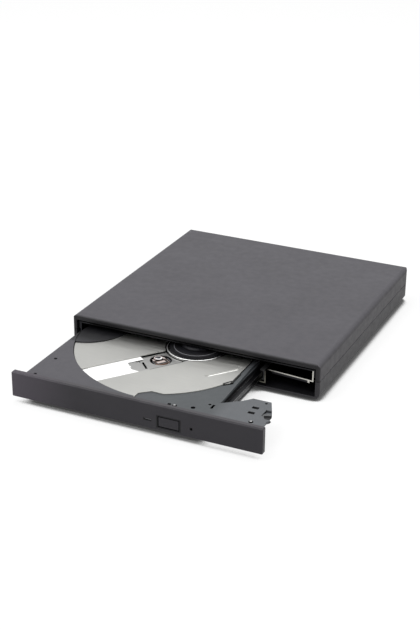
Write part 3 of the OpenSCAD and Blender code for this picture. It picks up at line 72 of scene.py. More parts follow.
class Graph:
    """A new material with a Principled shader, and short ways to add nodes to it."""

    def __init__(self, name):
        self.material = bpy.data.materials.new(name)
        self.material.use_nodes = True
        self.tree = self.material.node_tree
        self.tree.nodes.clear()
        self.shader = self.add("ShaderNodeBsdfPrincipled")
        self.link(self.shader.outputs["BSDF"], self.add("ShaderNodeOutputMaterial").inputs["Surface"])
        self.place = self.add("ShaderNodeTexCoord").outputs["Object"]

    def add(self, kind, **values):
        node = self.tree.nodes.new(kind)
        for key, value in values.items():
            setattr(node, key, value)
        return node

    def link(self, source, target):
        self.tree.links.new(source, target)

    def stretched(self, scale, turn=0.0):
        """Places drawn out by a scale for each axis, and turned about the vertical."""
        node = fill(self.add("ShaderNodeMapping"), Scale=scale, Rotation=(0.0, 0.0, turn))
        self.link(self.place, node.inputs["Vector"])
        return node.outputs["Vector"]

    def turned(self, centre, turn):
        """Places measured from a centre along axes turned about the vertical."""
        node = fill(self.add("ShaderNodeMapping", vector_type="TEXTURE"),
                    Location=(*centre, 0.0), Rotation=(0.0, 0.0, turn))
        self.link(self.place, node.inputs["Vector"])
        return node.outputs["Vector"]

    def noise(self, scale, detail=3.0, roughness=0.55, place=None):
        node = fill(self.add("ShaderNodeTexNoise"), Scale=scale, Detail=detail, Roughness=roughness)
        self.link(place or self.place, node.inputs["Vector"])
        return node.outputs["Fac"]

    def wave(self, scale, place, direction):
        node = fill(self.add("ShaderNodeTexWave", wave_type="BANDS", bands_direction=direction), Scale=scale)
        self.link(place, node.inputs["Vector"])
        return node.outputs["Fac"]

    def spread(self, value, low, high, start=0.3, end=0.7):
        """A value from start to end, brought to the range from low to high."""
        node = fill(self.add("ShaderNodeMapRange"), From_Min=start, From_Max=end, To_Min=low, To_Max=high)
        self.link(value, node.inputs["Value"])
        return node.outputs["Result"]

    def mix(self, amount, first, second):
        node = self.add("ShaderNodeMix", data_type="RGBA")
        self.link(amount, node.inputs["Factor"])
        for socket, value in ((node.inputs[6], first), (node.inputs[7], second)):
            if isinstance(value, tuple):
                socket.default_value = (*value, 1.0)
            else:
                self.link(value, socket)
        return node.outputs[2]

    def lay(self, colour, tones):
        """The colour with pairs of mask and colour laid over it, where tones gives any."""
        for mask, tone in tones(self) if tones else ():
            colour = self.mix(mask, colour, tone)
        return colour

    def bump(self, height, strength, distance):
        node = fill(self.add("ShaderNodeBump"), Strength=strength, Distance=distance)
        self.link(height, node.inputs["Height"])
        return node.outputs["Normal"]

    def math(self, operation, first, second):
        node = self.add("ShaderNodeMath", operation=operation)
        for socket, value in zip(node.inputs, (first, second)):
            if isinstance(value, float):
                socket.default_value = value
            else:
                self.link(value, socket)
        return node.outputs["Value"]

    def both(self, first, second):
        """1 where two masks are both 1."""
        return self.math("MULTIPLY", first, second)

    def edges(self, radius):
        """1 along the sharp edges of the mesh, 0 on its faces."""
        rounded = fill(self.add("ShaderNodeBevel", samples=EDGE_SAMPLES), Radius=radius)
        plain = self.add("ShaderNodeNewGeometry")
        dot = self.add("ShaderNodeVectorMath", operation="DOT_PRODUCT")
        self.link(rounded.outputs["Normal"], dot.inputs[0])
        self.link(plain.outputs["Normal"], dot.inputs[1])
        return self.spread(dot.outputs["Value"], 1.0, 0.0, EDGE_DOT, FACE_DOT)

    def span(self, axis, low, high, soft=SOFT, place=None):
        """1 where the place along an axis lies between low and high, in metres."""
        split = self.add("ShaderNodeSeparateXYZ")
        self.link(place or self.place, split.inputs["Vector"])
        rise = self.spread(split.outputs[axis], 0.0, 1.0, low - soft, low + soft)
        fall = self.spread(split.outputs[axis], 1.0, 0.0, high - soft, high + soft)
        return self.both(rise, fall)

    def below(self, height, soft=SOFT):
        """1 from the ground up to a height."""
        return self.span("Z", 0.0, height, soft)

    def box(self, centre, along, across, turn=0.0):
        """1 inside an upright box with lengths along and across, turned about its centre."""
        local = self.turned(centre, turn)
        return self.both(self.span("X", -along / 2, along / 2, SHARP, local),
                         self.span("Y", -across / 2, across / 2, SHARP, local))

    def window(self, centre, size):
        """1 inside a box seen from the front, with its centre and size in x and z."""
        return self.both(*(self.span(axis, middle - length / 2, middle + length / 2, SHARP)
                           for axis, middle, length in zip("XZ", centre, size)))

    def near(self, centre, radius):
        """1 inside an upright cylinder about a centre."""
        shift = self.add("ShaderNodeVectorMath", operation="SUBTRACT")
        self.link(self.place, shift.inputs[0])
        shift.inputs[1].default_value = (*centre, 0.0)
        flat = self.add("ShaderNodeVectorMath", operation="MULTIPLY")
        self.link(shift.outputs["Vector"], flat.inputs[0])
        flat.inputs[1].default_value = (1.0, 1.0, 0.0)
        length = self.add("ShaderNodeVectorMath", operation="LENGTH")
        self.link(flat.outputs["Vector"], length.inputs[0])
        return self.spread(length.outputs["Value"], 1.0, 0.0, radius - SOFT, radius + SOFT)

    def facing(self, axis, low, high):
        """0 where the face's normal along an axis is low, 1 where it is high."""
        split = self.add("ShaderNodeSeparateXYZ")
        self.link(self.add("ShaderNodeNewGeometry").outputs["Normal"], split.inputs["Vector"])
        return self.spread(split.outputs[axis], 0.0, 1.0, low, high)

    def hollows(self, distance, low, high):
        """1 in holes and corners, 0 on open faces."""
        node = fill(self.add("ShaderNodeAmbientOcclusion", samples=HOLLOW_SAMPLES), Distance=distance)
        return self.spread(node.outputs["AO"], 1.0, 0.0, low, high)

    def surface(self, colour, roughness, normal, **values):
        """Joins these to the shader, sets its other sockets, and returns the material."""
        for socket, source in (("Base Color", colour), ("Roughness", roughness), ("Normal", normal)):
            self.link(source, self.shader.inputs[socket])
        fill(self.shader, **values)
        return self.material


# Kinds of finish: scales of the noise are per metre, depths of the relief in metres

MOULD_CLOUD, MOULD_DEPTH = 45.0, 0.00006
METAL_CLOUD, BRUSH, BRUSH_DEPTH = 30.0, 900.0, 0.00004
TRACKS, TRACK_WIDTH, TRACK_DEPTH = 260.0, 0.06, 0.00004
FLOW_DEPTH = 0.00003


def moulded(name, low, high, rough, grain=2600.0, strength=0.25, wear_and_highlight=None, specular=0.5, tones=None):
    """Moulded plastic or rubber: fine grain and faint clouding.

    Paler edges are partly worn and partly a painted highlight; their colour, amount and radius are given
    together.
    tones(g) gives pairs of mask and colour that are laid over it.
    """
    g = Graph(name)
    colour = g.mix(g.spread(g.noise(MOULD_CLOUD, detail=4.0), 0.0, 1.0), low, high)
    if wear_and_highlight:
        edge_colour, amount, radius = wear_and_highlight
        colour = g.mix(g.math("MULTIPLY", g.edges(radius), amount), colour, edge_colour)
    return g.surface(g.lay(colour, tones), g.spread(g.noise(MOULD_CLOUD * 6.0), *rough),
                     g.bump(g.noise(grain, detail=2.0), strength, MOULD_DEPTH), Specular_IOR_Level=specular)


def metal(name, low, high, rough, lines=(1.0, 1.0, 1.0), turn=0.0, tones=None):
    """Metal with brush lines: the noise is drawn out along the axis with the least scale in lines."""
    g = Graph(name)
    brush = g.noise(BRUSH, roughness=0.6, place=g.stretched(lines, turn))
    colour = g.mix(g.spread(g.noise(METAL_CLOUD, detail=4.0), 0.0, 1.0), low, high)
    return g.surface(g.lay(colour, tones), g.spread(brush, *rough),
                     g.bump(brush, strength=0.08, distance=BRUSH_DEPTH), Metallic=1.0)


def striped(name, low, high, rough, scale, direction, metallic=0.0, strength=0.4, turn=0.0, depth=0.00008):
    """Wound wire, or the conductors of a flat cable: even stripes in colour and height."""
    g = Graph(name)
    stripes = g.wave(scale, g.stretched((1.0, 1.0, 1.0), turn), direction)
    colour = g.mix(g.spread(stripes, 0.0, 1.0, start=0.2, end=0.8), low, high)
    return g.surface(colour, g.spread(g.noise(700.0), *rough), g.bump(stripes, strength, depth),
                     Metallic=metallic)


def laminate(name, mask, trace, rough):
    """Circuit board: solder mask with raised, broken tracks under it."""
    g = Graph(name)
    cells = fill(g.add("ShaderNodeTexBrick", offset=0.5), Scale=TRACKS, Mortar_Size=TRACK_WIDTH,
                 Color1=(0.0, 0.0, 0.0, 1.0), Color2=(0.0, 0.0, 0.0, 1.0), Mortar=(1.0, 1.0, 1.0, 1.0))
    g.link(g.place, cells.inputs["Vector"])
    tracks = g.both(cells.outputs["Color"], g.spread(g.noise(300.0), 0.0, 1.0, start=0.45, end=0.55))
    return g.surface(g.mix(tracks, mask, trace), g.spread(g.noise(500.0), *rough),
                     g.bump(tracks, strength=0.3, distance=TRACK_DEPTH))


def clear(name, colour, rough, transmission):
    """Lamp window or lens: clear moulding with faint flow marks."""
    g = Graph(name)
    marks = g.mix(g.spread(g.noise(160.0), 0.0, 1.0), colour, tuple(0.8 * c for c in colour))
    return g.surface(marks, g.spread(g.noise(900.0), *rough),
                     g.bump(g.noise(500.0), strength=0.03, distance=FLOW_DEPTH),
                     Transmission_Weight=transmission, IOR=1.5, Coat_Weight=0.3, Coat_Roughness=0.05)


# Places along the pickup's travel, in millimetres

HUB = Vector((0.0, -31.0))
SLOT_TURN = math.radians(232.4)
SLOT_U = Vector((math.cos(SLOT_TURN), math.sin(SLOT_TURN)))
SLOT_N = Vector((-math.sin(SLOT_TURN), math.cos(SLOT_TURN)))
LENS = (21.4, 0.6)
COIL_BLOCK = (21.65, 4.05)
SLOT_LINE = (22.6, 11.6)
COVER_LINE = (31.45, -1.1)


def on_slot(along, across, z):
    """A place given along the pickup's travel and across it, as x, y, z."""
    flat = HUB + along * SLOT_U + across * SLOT_N
    return (flat.x, flat.y, z)


def on_slot_m(along, across):
    """The same, flat and in metres."""
    return tuple(MM * v for v in on_slot(along, across, 0.0)[:2])


# Places and sizes that the masks follow, in metres

FAR = 0.080  # past the part's sides
CASE_HALF, CASE_FLOOR, CASE_CEILING = 0.0646, 0.0021, 0.0171
SEAM_LOW, SEAM_HIGH = 0.01025, 0.01055
RAISED, BAY_WALL, PAN_RIGHT, PAN_LEFT = 0.0100, 0.0392, 0.0600, -0.050
RAISED_EDGE = 0.0005
# Where painted light starts on the bezel's left end, and where the tray starts to grow paler to the left
BEZEL_LIT_END, TRAY_PALE = -0.046, -0.010
BUTTON, BUTTON_SIZE = (0.0180, 0.00735), (0.0124, 0.0066)
LAMP, LAMP_SIZE = (0.0074, 0.00725), (0.0042, 0.0014)
PIN_HOLE, PIN_HOLE_SIZE = (0.0293, 0.00735), (0.0015, 0.0015)
DECK_LOW = 0.0106
EAR, EAR_R, EAR_BACK = (-0.0605, -0.031), 0.0216, -0.0485
PLATE_RIGHT, WING, STRIP_START = 0.0307, 0.0365, -0.042
HOLES = ((0.0138, -0.0897, 0.0011), (0.0250, -0.0880, 0.0013), (0.0306, -0.0820, 0.0009),
         (0.0533, -0.0680, 0.0009), (0.0592, -0.0911, 0.0008))
SLOTS = ((0.0326, -0.0834, 0.0014, 0.0040), (0.0505, -0.0759, 0.0034, 0.0022),
         (0.0506, -0.0810, 0.0034, 0.0022))
SLIT, SLIT_SIZE, SLIT_TURN = (0.0291, -0.0592), (0.0052, 0.0010), math.radians(57.5)
LATCH, LATCH_SIZE, LATCH_TOP = (0.0592, -0.0812), (0.0064, 0.0076), 0.0117
PINS, PIN_SHADE = ((0.0166, -0.0899), (0.0538, -0.0889)), 0.0010
SLOT_LINE_SIZE, COVER_LINE_SIZE = (0.0174, 0.0004), (0.0004, 0.0046)
RIGHT_LINE = (PLATE_RIGHT - 0.0003, PLATE_RIGHT + 0.0020)
GROOVE_OUT, GROOVE_IN = (0.0066, 0.0046), (0.0043, 0.0018)
RAIL_EDGE = 0.00018

# Tones: pairs of mask and colour, the later ones over the earlier ones. Most are painted shade and painted
# highlights.

BLACK = (0.004, 0.004, 0.005)
DARK_STEEL = (0.022, 0.022, 0.025)
GREY_LINE, DARK_LINE = (0.05, 0.05, 0.05), (0.03, 0.03, 0.03)


def case_tones(g):
    """Painted shade: darker sides and mouth, with the sides darker and the front faces less dark below the
    seam, a black line of shade along the seam in the mouth, and a black inside.
    """
    side = g.facing("Z", 0.8, 0.3)
    front = g.facing("Y", -0.2, -0.8)
    inside = g.both(g.span("X", -CASE_HALF, CASE_HALF, soft=0.0004),
                    g.span("Z", CASE_FLOOR, CASE_CEILING, soft=0.0003))
    return ((side, (0.024, 0.022, 0.026)),
            (g.both(side, g.below(SEAM_LOW)), (0.016, 0.015, 0.0175)),
            (front, (0.009, 0.0085, 0.010)),
            (g.both(front, g.below(SEAM_LOW)), (0.018, 0.017, 0.020)),
            (g.both(front, g.span("Z", SEAM_LOW, SEAM_HIGH, SHARP)), BLACK),
            (g.both(inside, g.math("SUBTRACT", 1.0, front)), BLACK))


def bezel_tones(g):
    """Painted light and shade: a paler top and a paler left end as painted light, and black painted shade in
    the gaps round the button, the lamp and the hole.
    """
    return ((g.facing("Z", 0.8, 0.95), (0.046, 0.043, 0.048)),
            (g.span("X", -FAR, BEZEL_LIT_END, soft=0.016), (0.052, 0.045, 0.056)),
            (g.window(BUTTON, BUTTON_SIZE), BLACK), (g.window(LAMP, LAMP_SIZE), BLACK),
            (g.window(PIN_HOLE, PIN_HOLE_SIZE), BLACK), *button_tones(g))


def button_tones(g):
    """Painted shade: black in the gaps."""
    return ((g.hollows(distance=0.0012, low=0.3, high=0.7), BLACK),)


def tray_tones(g):
    """Paler rim and wing, then painted shade: a darker strip right of the plate, a dark ear, and black in
    gaps, pockets, holes, round the pins, in the slit and below the deck.
    """
    ear = g.near(EAR, EAR_R)
    strip = g.both(g.span("X", PLATE_RIGHT, WING), g.span("Y", STRIP_START, 0.0, soft=0.010))
    upright = g.facing("Z", 0.7, 0.3)
    # Painted shade, all laid on in black: back of the ear, hollows, faces below the deck, hole and slot
    # walls, rings round the pins, latch pocket, slit
    dark = [g.both(ear, g.span("Y", EAR_BACK, 0.0, soft=0.0025)),
            g.hollows(distance=0.0016, low=0.3, high=0.75), g.below(DECK_LOW)]
    dark += [g.both(upright, g.near((x, y), r)) for x, y, r in HOLES]
    dark += [g.both(upright, g.box((x, y), width, depth)) for x, y, width, depth in SLOTS]
    dark += [g.near(pin, PIN_SHADE) for pin in PINS]
    dark += [g.both(g.box(LATCH, *LATCH_SIZE), g.below(LATCH_TOP, SHARP)), g.box(SLIT, *SLIT_SIZE, SLIT_TURN)]
    return ((g.span("X", -FAR, TRAY_PALE, soft=0.020), (0.052, 0.050, 0.058)),
            (g.span("X", WING, FAR, soft=0.0030), (0.080, 0.085, 0.092)),
            (strip, (0.030, 0.032, 0.035)), (ear, (0.016, 0.016, 0.019)), *((mask, BLACK) for mask in dark))


def sled_tones(g):
    """Painted shade: black in the sled's hollows."""
    return ((g.hollows(distance=0.0030, low=0.3, high=0.8), BLACK),)


def plate_tones(g):
    """Painted shade: dark lines along the pickup's side of the slot, in the slit and along the right edge."""
    return ((g.box(on_slot_m(*SLOT_LINE), *SLOT_LINE_SIZE, SLOT_TURN), GREY_LINE),
            (g.box(SLIT, *SLIT_SIZE, SLIT_TURN), BLACK), (g.span("X", *RIGHT_LINE, SHARP), DARK_LINE))


def pickup_tones(g):
    """Painted shade: dark line along the outer edge of the pickup's cover."""
    return ((g.box(on_slot_m(*COVER_LINE), *COVER_LINE_SIZE, SLOT_TURN), GREY_LINE),)


def ring_highlight_tones(g):
    """Painted highlight: the ring round the lens is bright on its outer side only, with painted shade on its
    other side.
    """
    local = g.turned(on_slot_m(*LENS), SLOT_TURN)
    return ((g.span("Y", -FAR, SHARP, soft=0.0004, place=local), (0.10, 0.10, 0.11)),)


def holder_tones(g):
    """Painted shade: dark sides, and a dark groove round the coil block."""
    outer, inner = (g.box(on_slot_m(*COIL_BLOCK), *size, SLOT_TURN) for size in (GROOVE_OUT, GROOVE_IN))
    return ((g.facing("Z", 0.7, 0.3), (0.03, 0.028, 0.028)),
            (g.math("SUBTRACT", outer, inner), (0.012, 0.010, 0.010)))


def chassis_tones(g):
    """Painted shade: a darker bay, dark front edges and left side, and a dark wall under the raised floor's
    bright edge.
    """
    wall = g.both(g.below(RAISED - RAISED_EDGE, SHARP), g.span("X", BAY_WALL, PAN_RIGHT))
    return ((g.span("X", 0.0, BAY_WALL, soft=0.0004), (0.16, 0.155, 0.13)),
            (g.facing("Y", -0.9, -0.5), DARK_STEEL), (wall, DARK_STEEL),
            (g.span("X", -FAR, PAN_LEFT, soft=0.002), DARK_STEEL))


def rail_tones(g):
    """Painted shade: dark faces between edges left bright as a painted highlight."""
    return ((g.math("SUBTRACT", 1.0, g.edges(RAIL_EDGE)), (0.014, 0.014, 0.016)),)


# Finishes, one for each material slot of the part and some more for details

BRUSH_X = (0.06, 1.0, 1.0)
BRUSH_Y = (1.0, 0.06, 1.0)
# Paler front edges of the bezel and button: partly worn, partly a painted highlight
FRONT_WEAR_AND_HIGHLIGHT = ((0.05, 0.049, 0.053), 0.4, 0.0003)

MOULDED = {
    "case_plastic": dict(low=(0.048, 0.046, 0.053), high=(0.056, 0.054, 0.062), rough=(0.46, 0.56),
                         grain=2400.0, strength=0.22, wear_and_highlight=((0.075, 0.073, 0.080), 0.3, 0.0004),
                         specular=0.3, tones=case_tones),
    "bezel_plastic": dict(low=(0.0180, 0.0165, 0.0205), high=(0.0230, 0.0215, 0.0255), rough=(0.40, 0.50),
                          grain=2800.0, strength=0.20, wear_and_highlight=FRONT_WEAR_AND_HIGHLIGHT, specular=0.25, tones=bezel_tones),
    "button_plastic": dict(low=(0.0170, 0.0155, 0.0195), high=(0.0220, 0.0205, 0.0245), rough=(0.38, 0.48),
                           grain=2800.0, strength=0.20, wear_and_highlight=FRONT_WEAR_AND_HIGHLIGHT, specular=0.25, tones=button_tones),
    "tray_plastic": dict(low=(0.046, 0.051, 0.055), high=(0.054, 0.060, 0.064), rough=(0.46, 0.56),
                         grain=2200.0, wear_and_highlight=((0.10, 0.11, 0.115), 0.4, 0.0002), specular=0.35,
                         tones=tray_tones),
    "dark_plastic": dict(low=(0.016, 0.016, 0.017), high=(0.024, 0.024, 0.025), rough=(0.40, 0.52)),
    "pale_plastic": dict(low=(0.55, 0.53, 0.47), high=(0.63, 0.61, 0.55), rough=(0.38, 0.50)),
    "lever_plastic": dict(low=(0.055, 0.058, 0.060), high=(0.068, 0.071, 0.074), rough=(0.40, 0.52)),
    "table_plastic": dict(low=(0.008, 0.008, 0.010), high=(0.012, 0.012, 0.014), rough=(0.40, 0.52),
                          specular=0.12),
    "holder_plastic": dict(low=(0.40, 0.34, 0.32), high=(0.52, 0.46, 0.44), rough=(0.30, 0.42),
                           tones=holder_tones),
    "chip_plastic": dict(low=(0.012, 0.012, 0.013), high=(0.020, 0.020, 0.021), rough=(0.5, 0.65)),
    # A pale colour for the ring round the lens, as a painted highlight
    "ring_painted_highlight": dict(low=(0.80, 0.80, 0.80), high=(0.88, 0.88, 0.88), rough=(0.20, 0.30),
                       tones=ring_highlight_tones),
    "foot_rubber": dict(low=(0.014, 0.014, 0.014), high=(0.022, 0.022, 0.022), rough=(0.75, 0.9),
                        grain=1800.0, strength=0.4),
    "damper_rubber": dict(low=(0.02, 0.02, 0.02), high=(0.03, 0.03, 0.03), rough=(0.7, 0.85),
                          grain=1800.0, strength=0.4),
    "ring_rubber": dict(low=(0.007, 0.007, 0.008), high=(0.011, 0.011, 0.012), rough=(0.6, 0.75),
                        grain=2000.0, strength=0.3, specular=0.1),
    # A paler copy of the seat's rubber for its lip, as a painted highlight
    "lip_highlight_rubber": dict(low=(0.09, 0.09, 0.10), high=(0.12, 0.12, 0.13), rough=(0.45, 0.60),
                       grain=2000.0, strength=0.3),
}

METAL = {
    "screw_steel": dict(low=(0.42, 0.42, 0.43), high=(0.52, 0.52, 0.53), rough=(0.22, 0.38)),
    "pin_steel": dict(low=(0.24, 0.24, 0.245), high=(0.32, 0.32, 0.325), rough=(0.26, 0.40)),
    "cover_steel": dict(low=(0.020, 0.020, 0.022), high=(0.030, 0.030, 0.032), rough=(0.35, 0.50),
                        lines=BRUSH_Y),
    "chassis_steel": dict(low=(0.50, 0.49, 0.45), high=(0.60, 0.59, 0.54), rough=(0.28, 0.42),
                          lines=BRUSH_Y, tones=chassis_tones),
    "skin_steel": dict(low=(0.50, 0.49, 0.46), high=(0.60, 0.59, 0.55), rough=(0.30, 0.44), lines=BRUSH_Y),
    "rail_steel": dict(low=(0.42, 0.42, 0.42), high=(0.52, 0.52, 0.51), rough=(0.26, 0.40),
                       lines=BRUSH_Y, tones=rail_tones),
    "plate_metal": dict(low=(0.43, 0.43, 0.415), high=(0.48, 0.48, 0.46), rough=(0.36, 0.46),
                        lines=BRUSH_X, tones=plate_tones),
    # A paler copy of the plate's metal for the ridge, as a painted highlight
    "ridge_highlight_metal": dict(low=(0.72, 0.72, 0.70), high=(0.78, 0.78, 0.76), rough=(0.30, 0.40), lines=BRUSH_X),
    "frame_metal": dict(low=(0.30, 0.30, 0.29), high=(0.40, 0.40, 0.39), rough=(0.45, 0.6)),
    "sled_metal": dict(low=(0.10, 0.10, 0.105), high=(0.16, 0.16, 0.165), rough=(0.45, 0.6),
                       tones=sled_tones),
    "pickup_sheet": dict(low=(0.38, 0.38, 0.375), high=(0.44, 0.44, 0.43), rough=(0.32, 0.44),
                         lines=BRUSH_X, turn=SLOT_TURN, tones=pickup_tones),
    "rod_steel": dict(low=(0.66, 0.66, 0.67), high=(0.74, 0.74, 0.75), rough=(0.12, 0.22),
                      lines=BRUSH_X, turn=SLOT_TURN),
    "motor_steel": dict(low=(0.38, 0.38, 0.37), high=(0.48, 0.48, 0.47), rough=(0.28, 0.42)),
    "rotor_steel": dict(low=(0.50, 0.50, 0.49), high=(0.58, 0.58, 0.57), rough=(0.18, 0.30)),
    # A paler copy of the rotor's steel for its rim, as a painted highlight
    "rim_highlight_steel": dict(low=(0.72, 0.72, 0.71), high=(0.80, 0.80, 0.79), rough=(0.34, 0.46)),
    "bearing_brass": dict(low=(0.56, 0.40, 0.16), high=(0.66, 0.50, 0.22), rough=(0.22, 0.36)),
    "socket_metal": dict(low=(0.56, 0.56, 0.57), high=(0.66, 0.66, 0.67), rough=(0.16, 0.28)),
    "spring_steel": dict(low=(0.56, 0.56, 0.57), high=(0.66, 0.66, 0.67), rough=(0.16, 0.26)),
}

STRIPED = {
    "coil_copper": dict(low=(0.30, 0.11, 0.035), high=(0.62, 0.30, 0.12), rough=(0.25, 0.40),
                        scale=1600.0, direction="Z", metallic=1.0),
    "fine_copper": dict(low=(0.20, 0.11, 0.07), high=(0.36, 0.22, 0.16), rough=(0.35, 0.50),
                        scale=1600.0, direction="Z", metallic=1.0),
    "ribbon_film": dict(low=(0.83, 0.83, 0.82), high=(0.88, 0.88, 0.87), rough=(0.35, 0.5),
                        scale=500.0, direction="Y", strength=0.1, turn=-SLOT_TURN, depth=0.00003),
    "flex_film": dict(low=(0.36, 0.17, 0.035), high=(0.52, 0.29, 0.08), rough=(0.2, 0.35),
                      scale=400.0, direction="X", strength=0.2),
}

KINDS = ((moulded, MOULDED), (metal, METAL), (striped, STRIPED))
FINISH = {name: kind(name, **values) for kind, table in KINDS for name, values in table.items()}
FINISH["lamp_plastic"] = clear("lamp_plastic", (0.12, 0.12, 0.13), (0.10, 0.20), 0.3)
FINISH["lens_glass"] = clear("lens_glass", (0.02, 0.022, 0.03), (0.04, 0.10), 0.1)
FINISH["board_laminate"] = laminate("board_laminate", (0.02, 0.11, 0.045), (0.05, 0.22, 0.09), (0.25, 0.38))

NODE_FINISH = {
    "case_plastic": "upper_shell lower_shell",
    "bezel_plastic": "front_bezel",
    "button_plastic": "eject_button",
    "tray_plastic": "tray_frame",
    "dark_plastic": "left_rail_guide right_rail_guide link_connector usb_contacts power_jack eject_switch",
    "lever_plastic": "latch_lever",
    "pale_plastic": "rear_connector eject_pusher",
    "holder_plastic": "lens_holder",
    "lamp_plastic": "lamp_lens",
    "foot_rubber": "rubber_feet",
    "damper_rubber": "rubber_dampers",
    "ring_rubber": "turntable_ring",
    "screw_steel": "shell_screws cover_screws bridge_board_screws tray_screws damper_screws",
    "chassis_steel": "drive_chassis",
    "cover_steel": "drive_top_cover",
    "skin_steel": "tray_bottom_cover",
    "rail_steel": "latch_post left_slide_rail right_slide_rail",
    "plate_metal": "traverse_cover",
    "frame_metal": "traverse_frame",
    "sled_metal": "pickup_sled",
    "pickup_sheet": "pickup_cover",
    "rod_steel": "main_rod sub_rod spindle_shaft",
    "motor_steel": "sled_motor",
    "rotor_steel": "spindle_rotor",
    "bearing_brass": "spindle_bearing lead_screw",
    "coil_copper": "spindle_stator latch_solenoid",
    "table_plastic": "turntable hub_jaw_a hub_jaw_b hub_jaw_c",
    "lens_glass": "objective_lens",
    "board_laminate": "rear_board bridge_board main_board switch_board spindle_base",
    "chip_plastic": "bridge_chips main_board_chips",
    "ribbon_film": "pickup_cable",
    "flex_film": "flex_cable",
    "socket_metal": "usb_socket power_jack_pin",
    "spring_steel": "eject_spring",
}


def dress(node, material):
    """Puts a material in every slot of a node."""
    mesh = nodes[node].data
    if not mesh.materials:
        mesh.materials.append(material)
    for i in range(len(mesh.materials)):
        mesh.materials[i] = material


for finish_name, names in NODE_FINISH.items():
    for node_name in names.split():
        dress(node_name, FINISH[finish_name])


# Detail pieces, drawn in millimetres

def piece(name, body, slot, mesh_in, material=None, replaces=None):
    """A new object from a mesh in millimetres, riding on a body and finished as its slot."""
    bmesh.ops.scale(mesh_in, vec=(MM, MM, MM), verts=mesh_in.verts)
    bmesh.ops.recalc_face_normals(mesh_in, faces=mesh_in.faces)
    mesh = bpy.data.meshes.new(name)
    mesh_in.to_mesh(mesh)
    mesh_in.free()
    mesh.materials.append(material or FINISH[slot])
    item = bpy.data.objects.new(name, mesh)
    scene.collection.objects.link(item)
    if body:
        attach(item, body)
    if replaces:
        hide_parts(replaces)
    return item


def turn_steps(count):
    """Angles of a whole turn in even steps."""
    return [2.0 * math.pi * i / count for i in range(count)]


def lathe(mesh_in, centre, profile, turns=96):
    """A closed profile of radius and height, turned about an upright axis."""
    rings = [[mesh_in.verts.new((centre[0] + r * math.cos(a), centre[1] + r * math.sin(a), z))
              for r, z in profile] for a in turn_steps(turns)]
    for i in range(turns):
        first, second = rings[i], rings[(i + 1) % turns]
        for j in range(len(profile)):
            k = (j + 1) % len(profile)
            mesh_in.faces.new((first[j], second[j], second[k], first[k])).smooth = True


def bead(radius, z, width, height, steps=12):
    """An oval profile for lathe."""
    return [(radius + width / 2 * math.cos(a), z + height / 2 * math.sin(a)) for a in turn_steps(steps)]


def slab(mesh_in, outline, z_low, z_high, rounding=0.0):
    """A flat sheet with an outline of x, y points, its edges rounded."""
    lower = [mesh_in.verts.new((x, y, z_low)) for x, y in outline]
    upper = [mesh_in.verts.new((x, y, z_high)) for x, y in outline]
    count = len(outline)
    faces = [mesh_in.faces.new(lower), mesh_in.faces.new(upper)]
    faces += [mesh_in.faces.new((lower[i], lower[(i + 1) % count], upper[(i + 1) % count], upper[i]))
              for i in range(count)]
    if rounding:
        edges = {edge for face in faces for edge in face.edges}
        bmesh.ops.bevel(mesh_in, geom=list(edges), offset=rounding, segments=2, affect="EDGES", profile=0.5)


def skin(mesh_in, rings, smooth):
    """Faces between rings of points, the first ones of each band smooth, and a cap at each end."""
    count = len(rings[0])
    for first, second in zip(rings, rings[1:]):
        for k in range(count):
            m = (k + 1) % count
            mesh_in.faces.new((first[k], first[m], second[m], second[k])).smooth = k < smooth
    for end in (rings[0], rings[-1]):
        mesh_in.faces.new(end)


def tube(mesh_in, points, radius, sides=6):
    """A round wire through points."""
    points = [Vector(p) for p in points]
    rings = []
    for i, point in enumerate(points):
        ahead = (points[min(i + 1, len(points) - 1)] - points[max(i - 1, 0)]).normalized()
        side = ahead.cross(Vector((0.0, 0.0, 1.0))).normalized()
        up = side.cross(ahead)
        rings.append([mesh_in.verts.new(point + radius * (math.cos(a) * side + math.sin(a) * up))
                      for a in turn_steps(sides)])
    skin(mesh_in, rings, sides)


def slot_outline(points):
    """Points given along and across the pickup's travel, as x, y."""
    return [on_slot(along, across, 0.0)[:2] for along, across in points]


def slot_rect(start, end, low, high):
    """The outline of a rectangle along the pickup's travel."""
    return slot_outline(((start, low), (end, low), (end, high), (start, high)))


# Turntable: the rolled rim of the rotor, in a paler steel than the rotor as a painted highlight, and the lip
# of the disc's seat, in a paler rubber as a painted highlight
ROTOR_R, LIP_TOP = 15.1, 12.3
RIM_W, RIM_H = 0.56, 0.36
SEAT_R, SEAT = 11.3, 13.1
SEAT_W, SEAT_H = 0.5, 0.16

rim = bmesh.new()
lathe(rim, HUB, bead(ROTOR_R - RIM_W / 2, LIP_TOP, RIM_W, RIM_H))
piece("rotor_rim", "spindle", "rotor_steel", rim, FINISH["rim_highlight_steel"])

seat_lip = bmesh.new()
lathe(seat_lip, HUB, bead(SEAT_R, SEAT, SEAT_W, SEAT_H))
piece("seat_lip", "spindle", "ring_rubber", seat_lip, FINISH["lip_highlight_rubber"])

# Pickup: ring round the lens, painted bright as a highlight, drive coil, yokes and suspension wires
SLED_TOP = 11.0
HOLDER_HALF, HOLDER_FAR = 3.2, 6.4
RING_R, RING_Z, RING_W, RING_H = 1.4, 11.45, 0.8, 0.2
COIL_TURNS, COIL_LOW, COIL_PITCH = 5, 10.0, 0.22
COIL_NEAR, COIL_CLEAR, COIL_WIRE = 3.0, 0.15, 0.11
YOKE_OFF, YOKE_HALF, YOKE_NEAR, YOKE_FAR, YOKE_LOW = 4.0, 0.3, 2.2, 5.6, 8.0
WIRE_Z, WIRE_OFF, WIRE_END, WIRE_R = (9.6, 10.7), 2.2, 7.4, 0.08

lens_ring = bmesh.new()
lathe(lens_ring, on_slot(*LENS, 0.0)[:2], bead(RING_R, RING_Z, RING_W, RING_H), turns=48)
piece("lens_ring", "lens", "pickup_sheet", lens_ring, FINISH["ring_painted_highlight"])

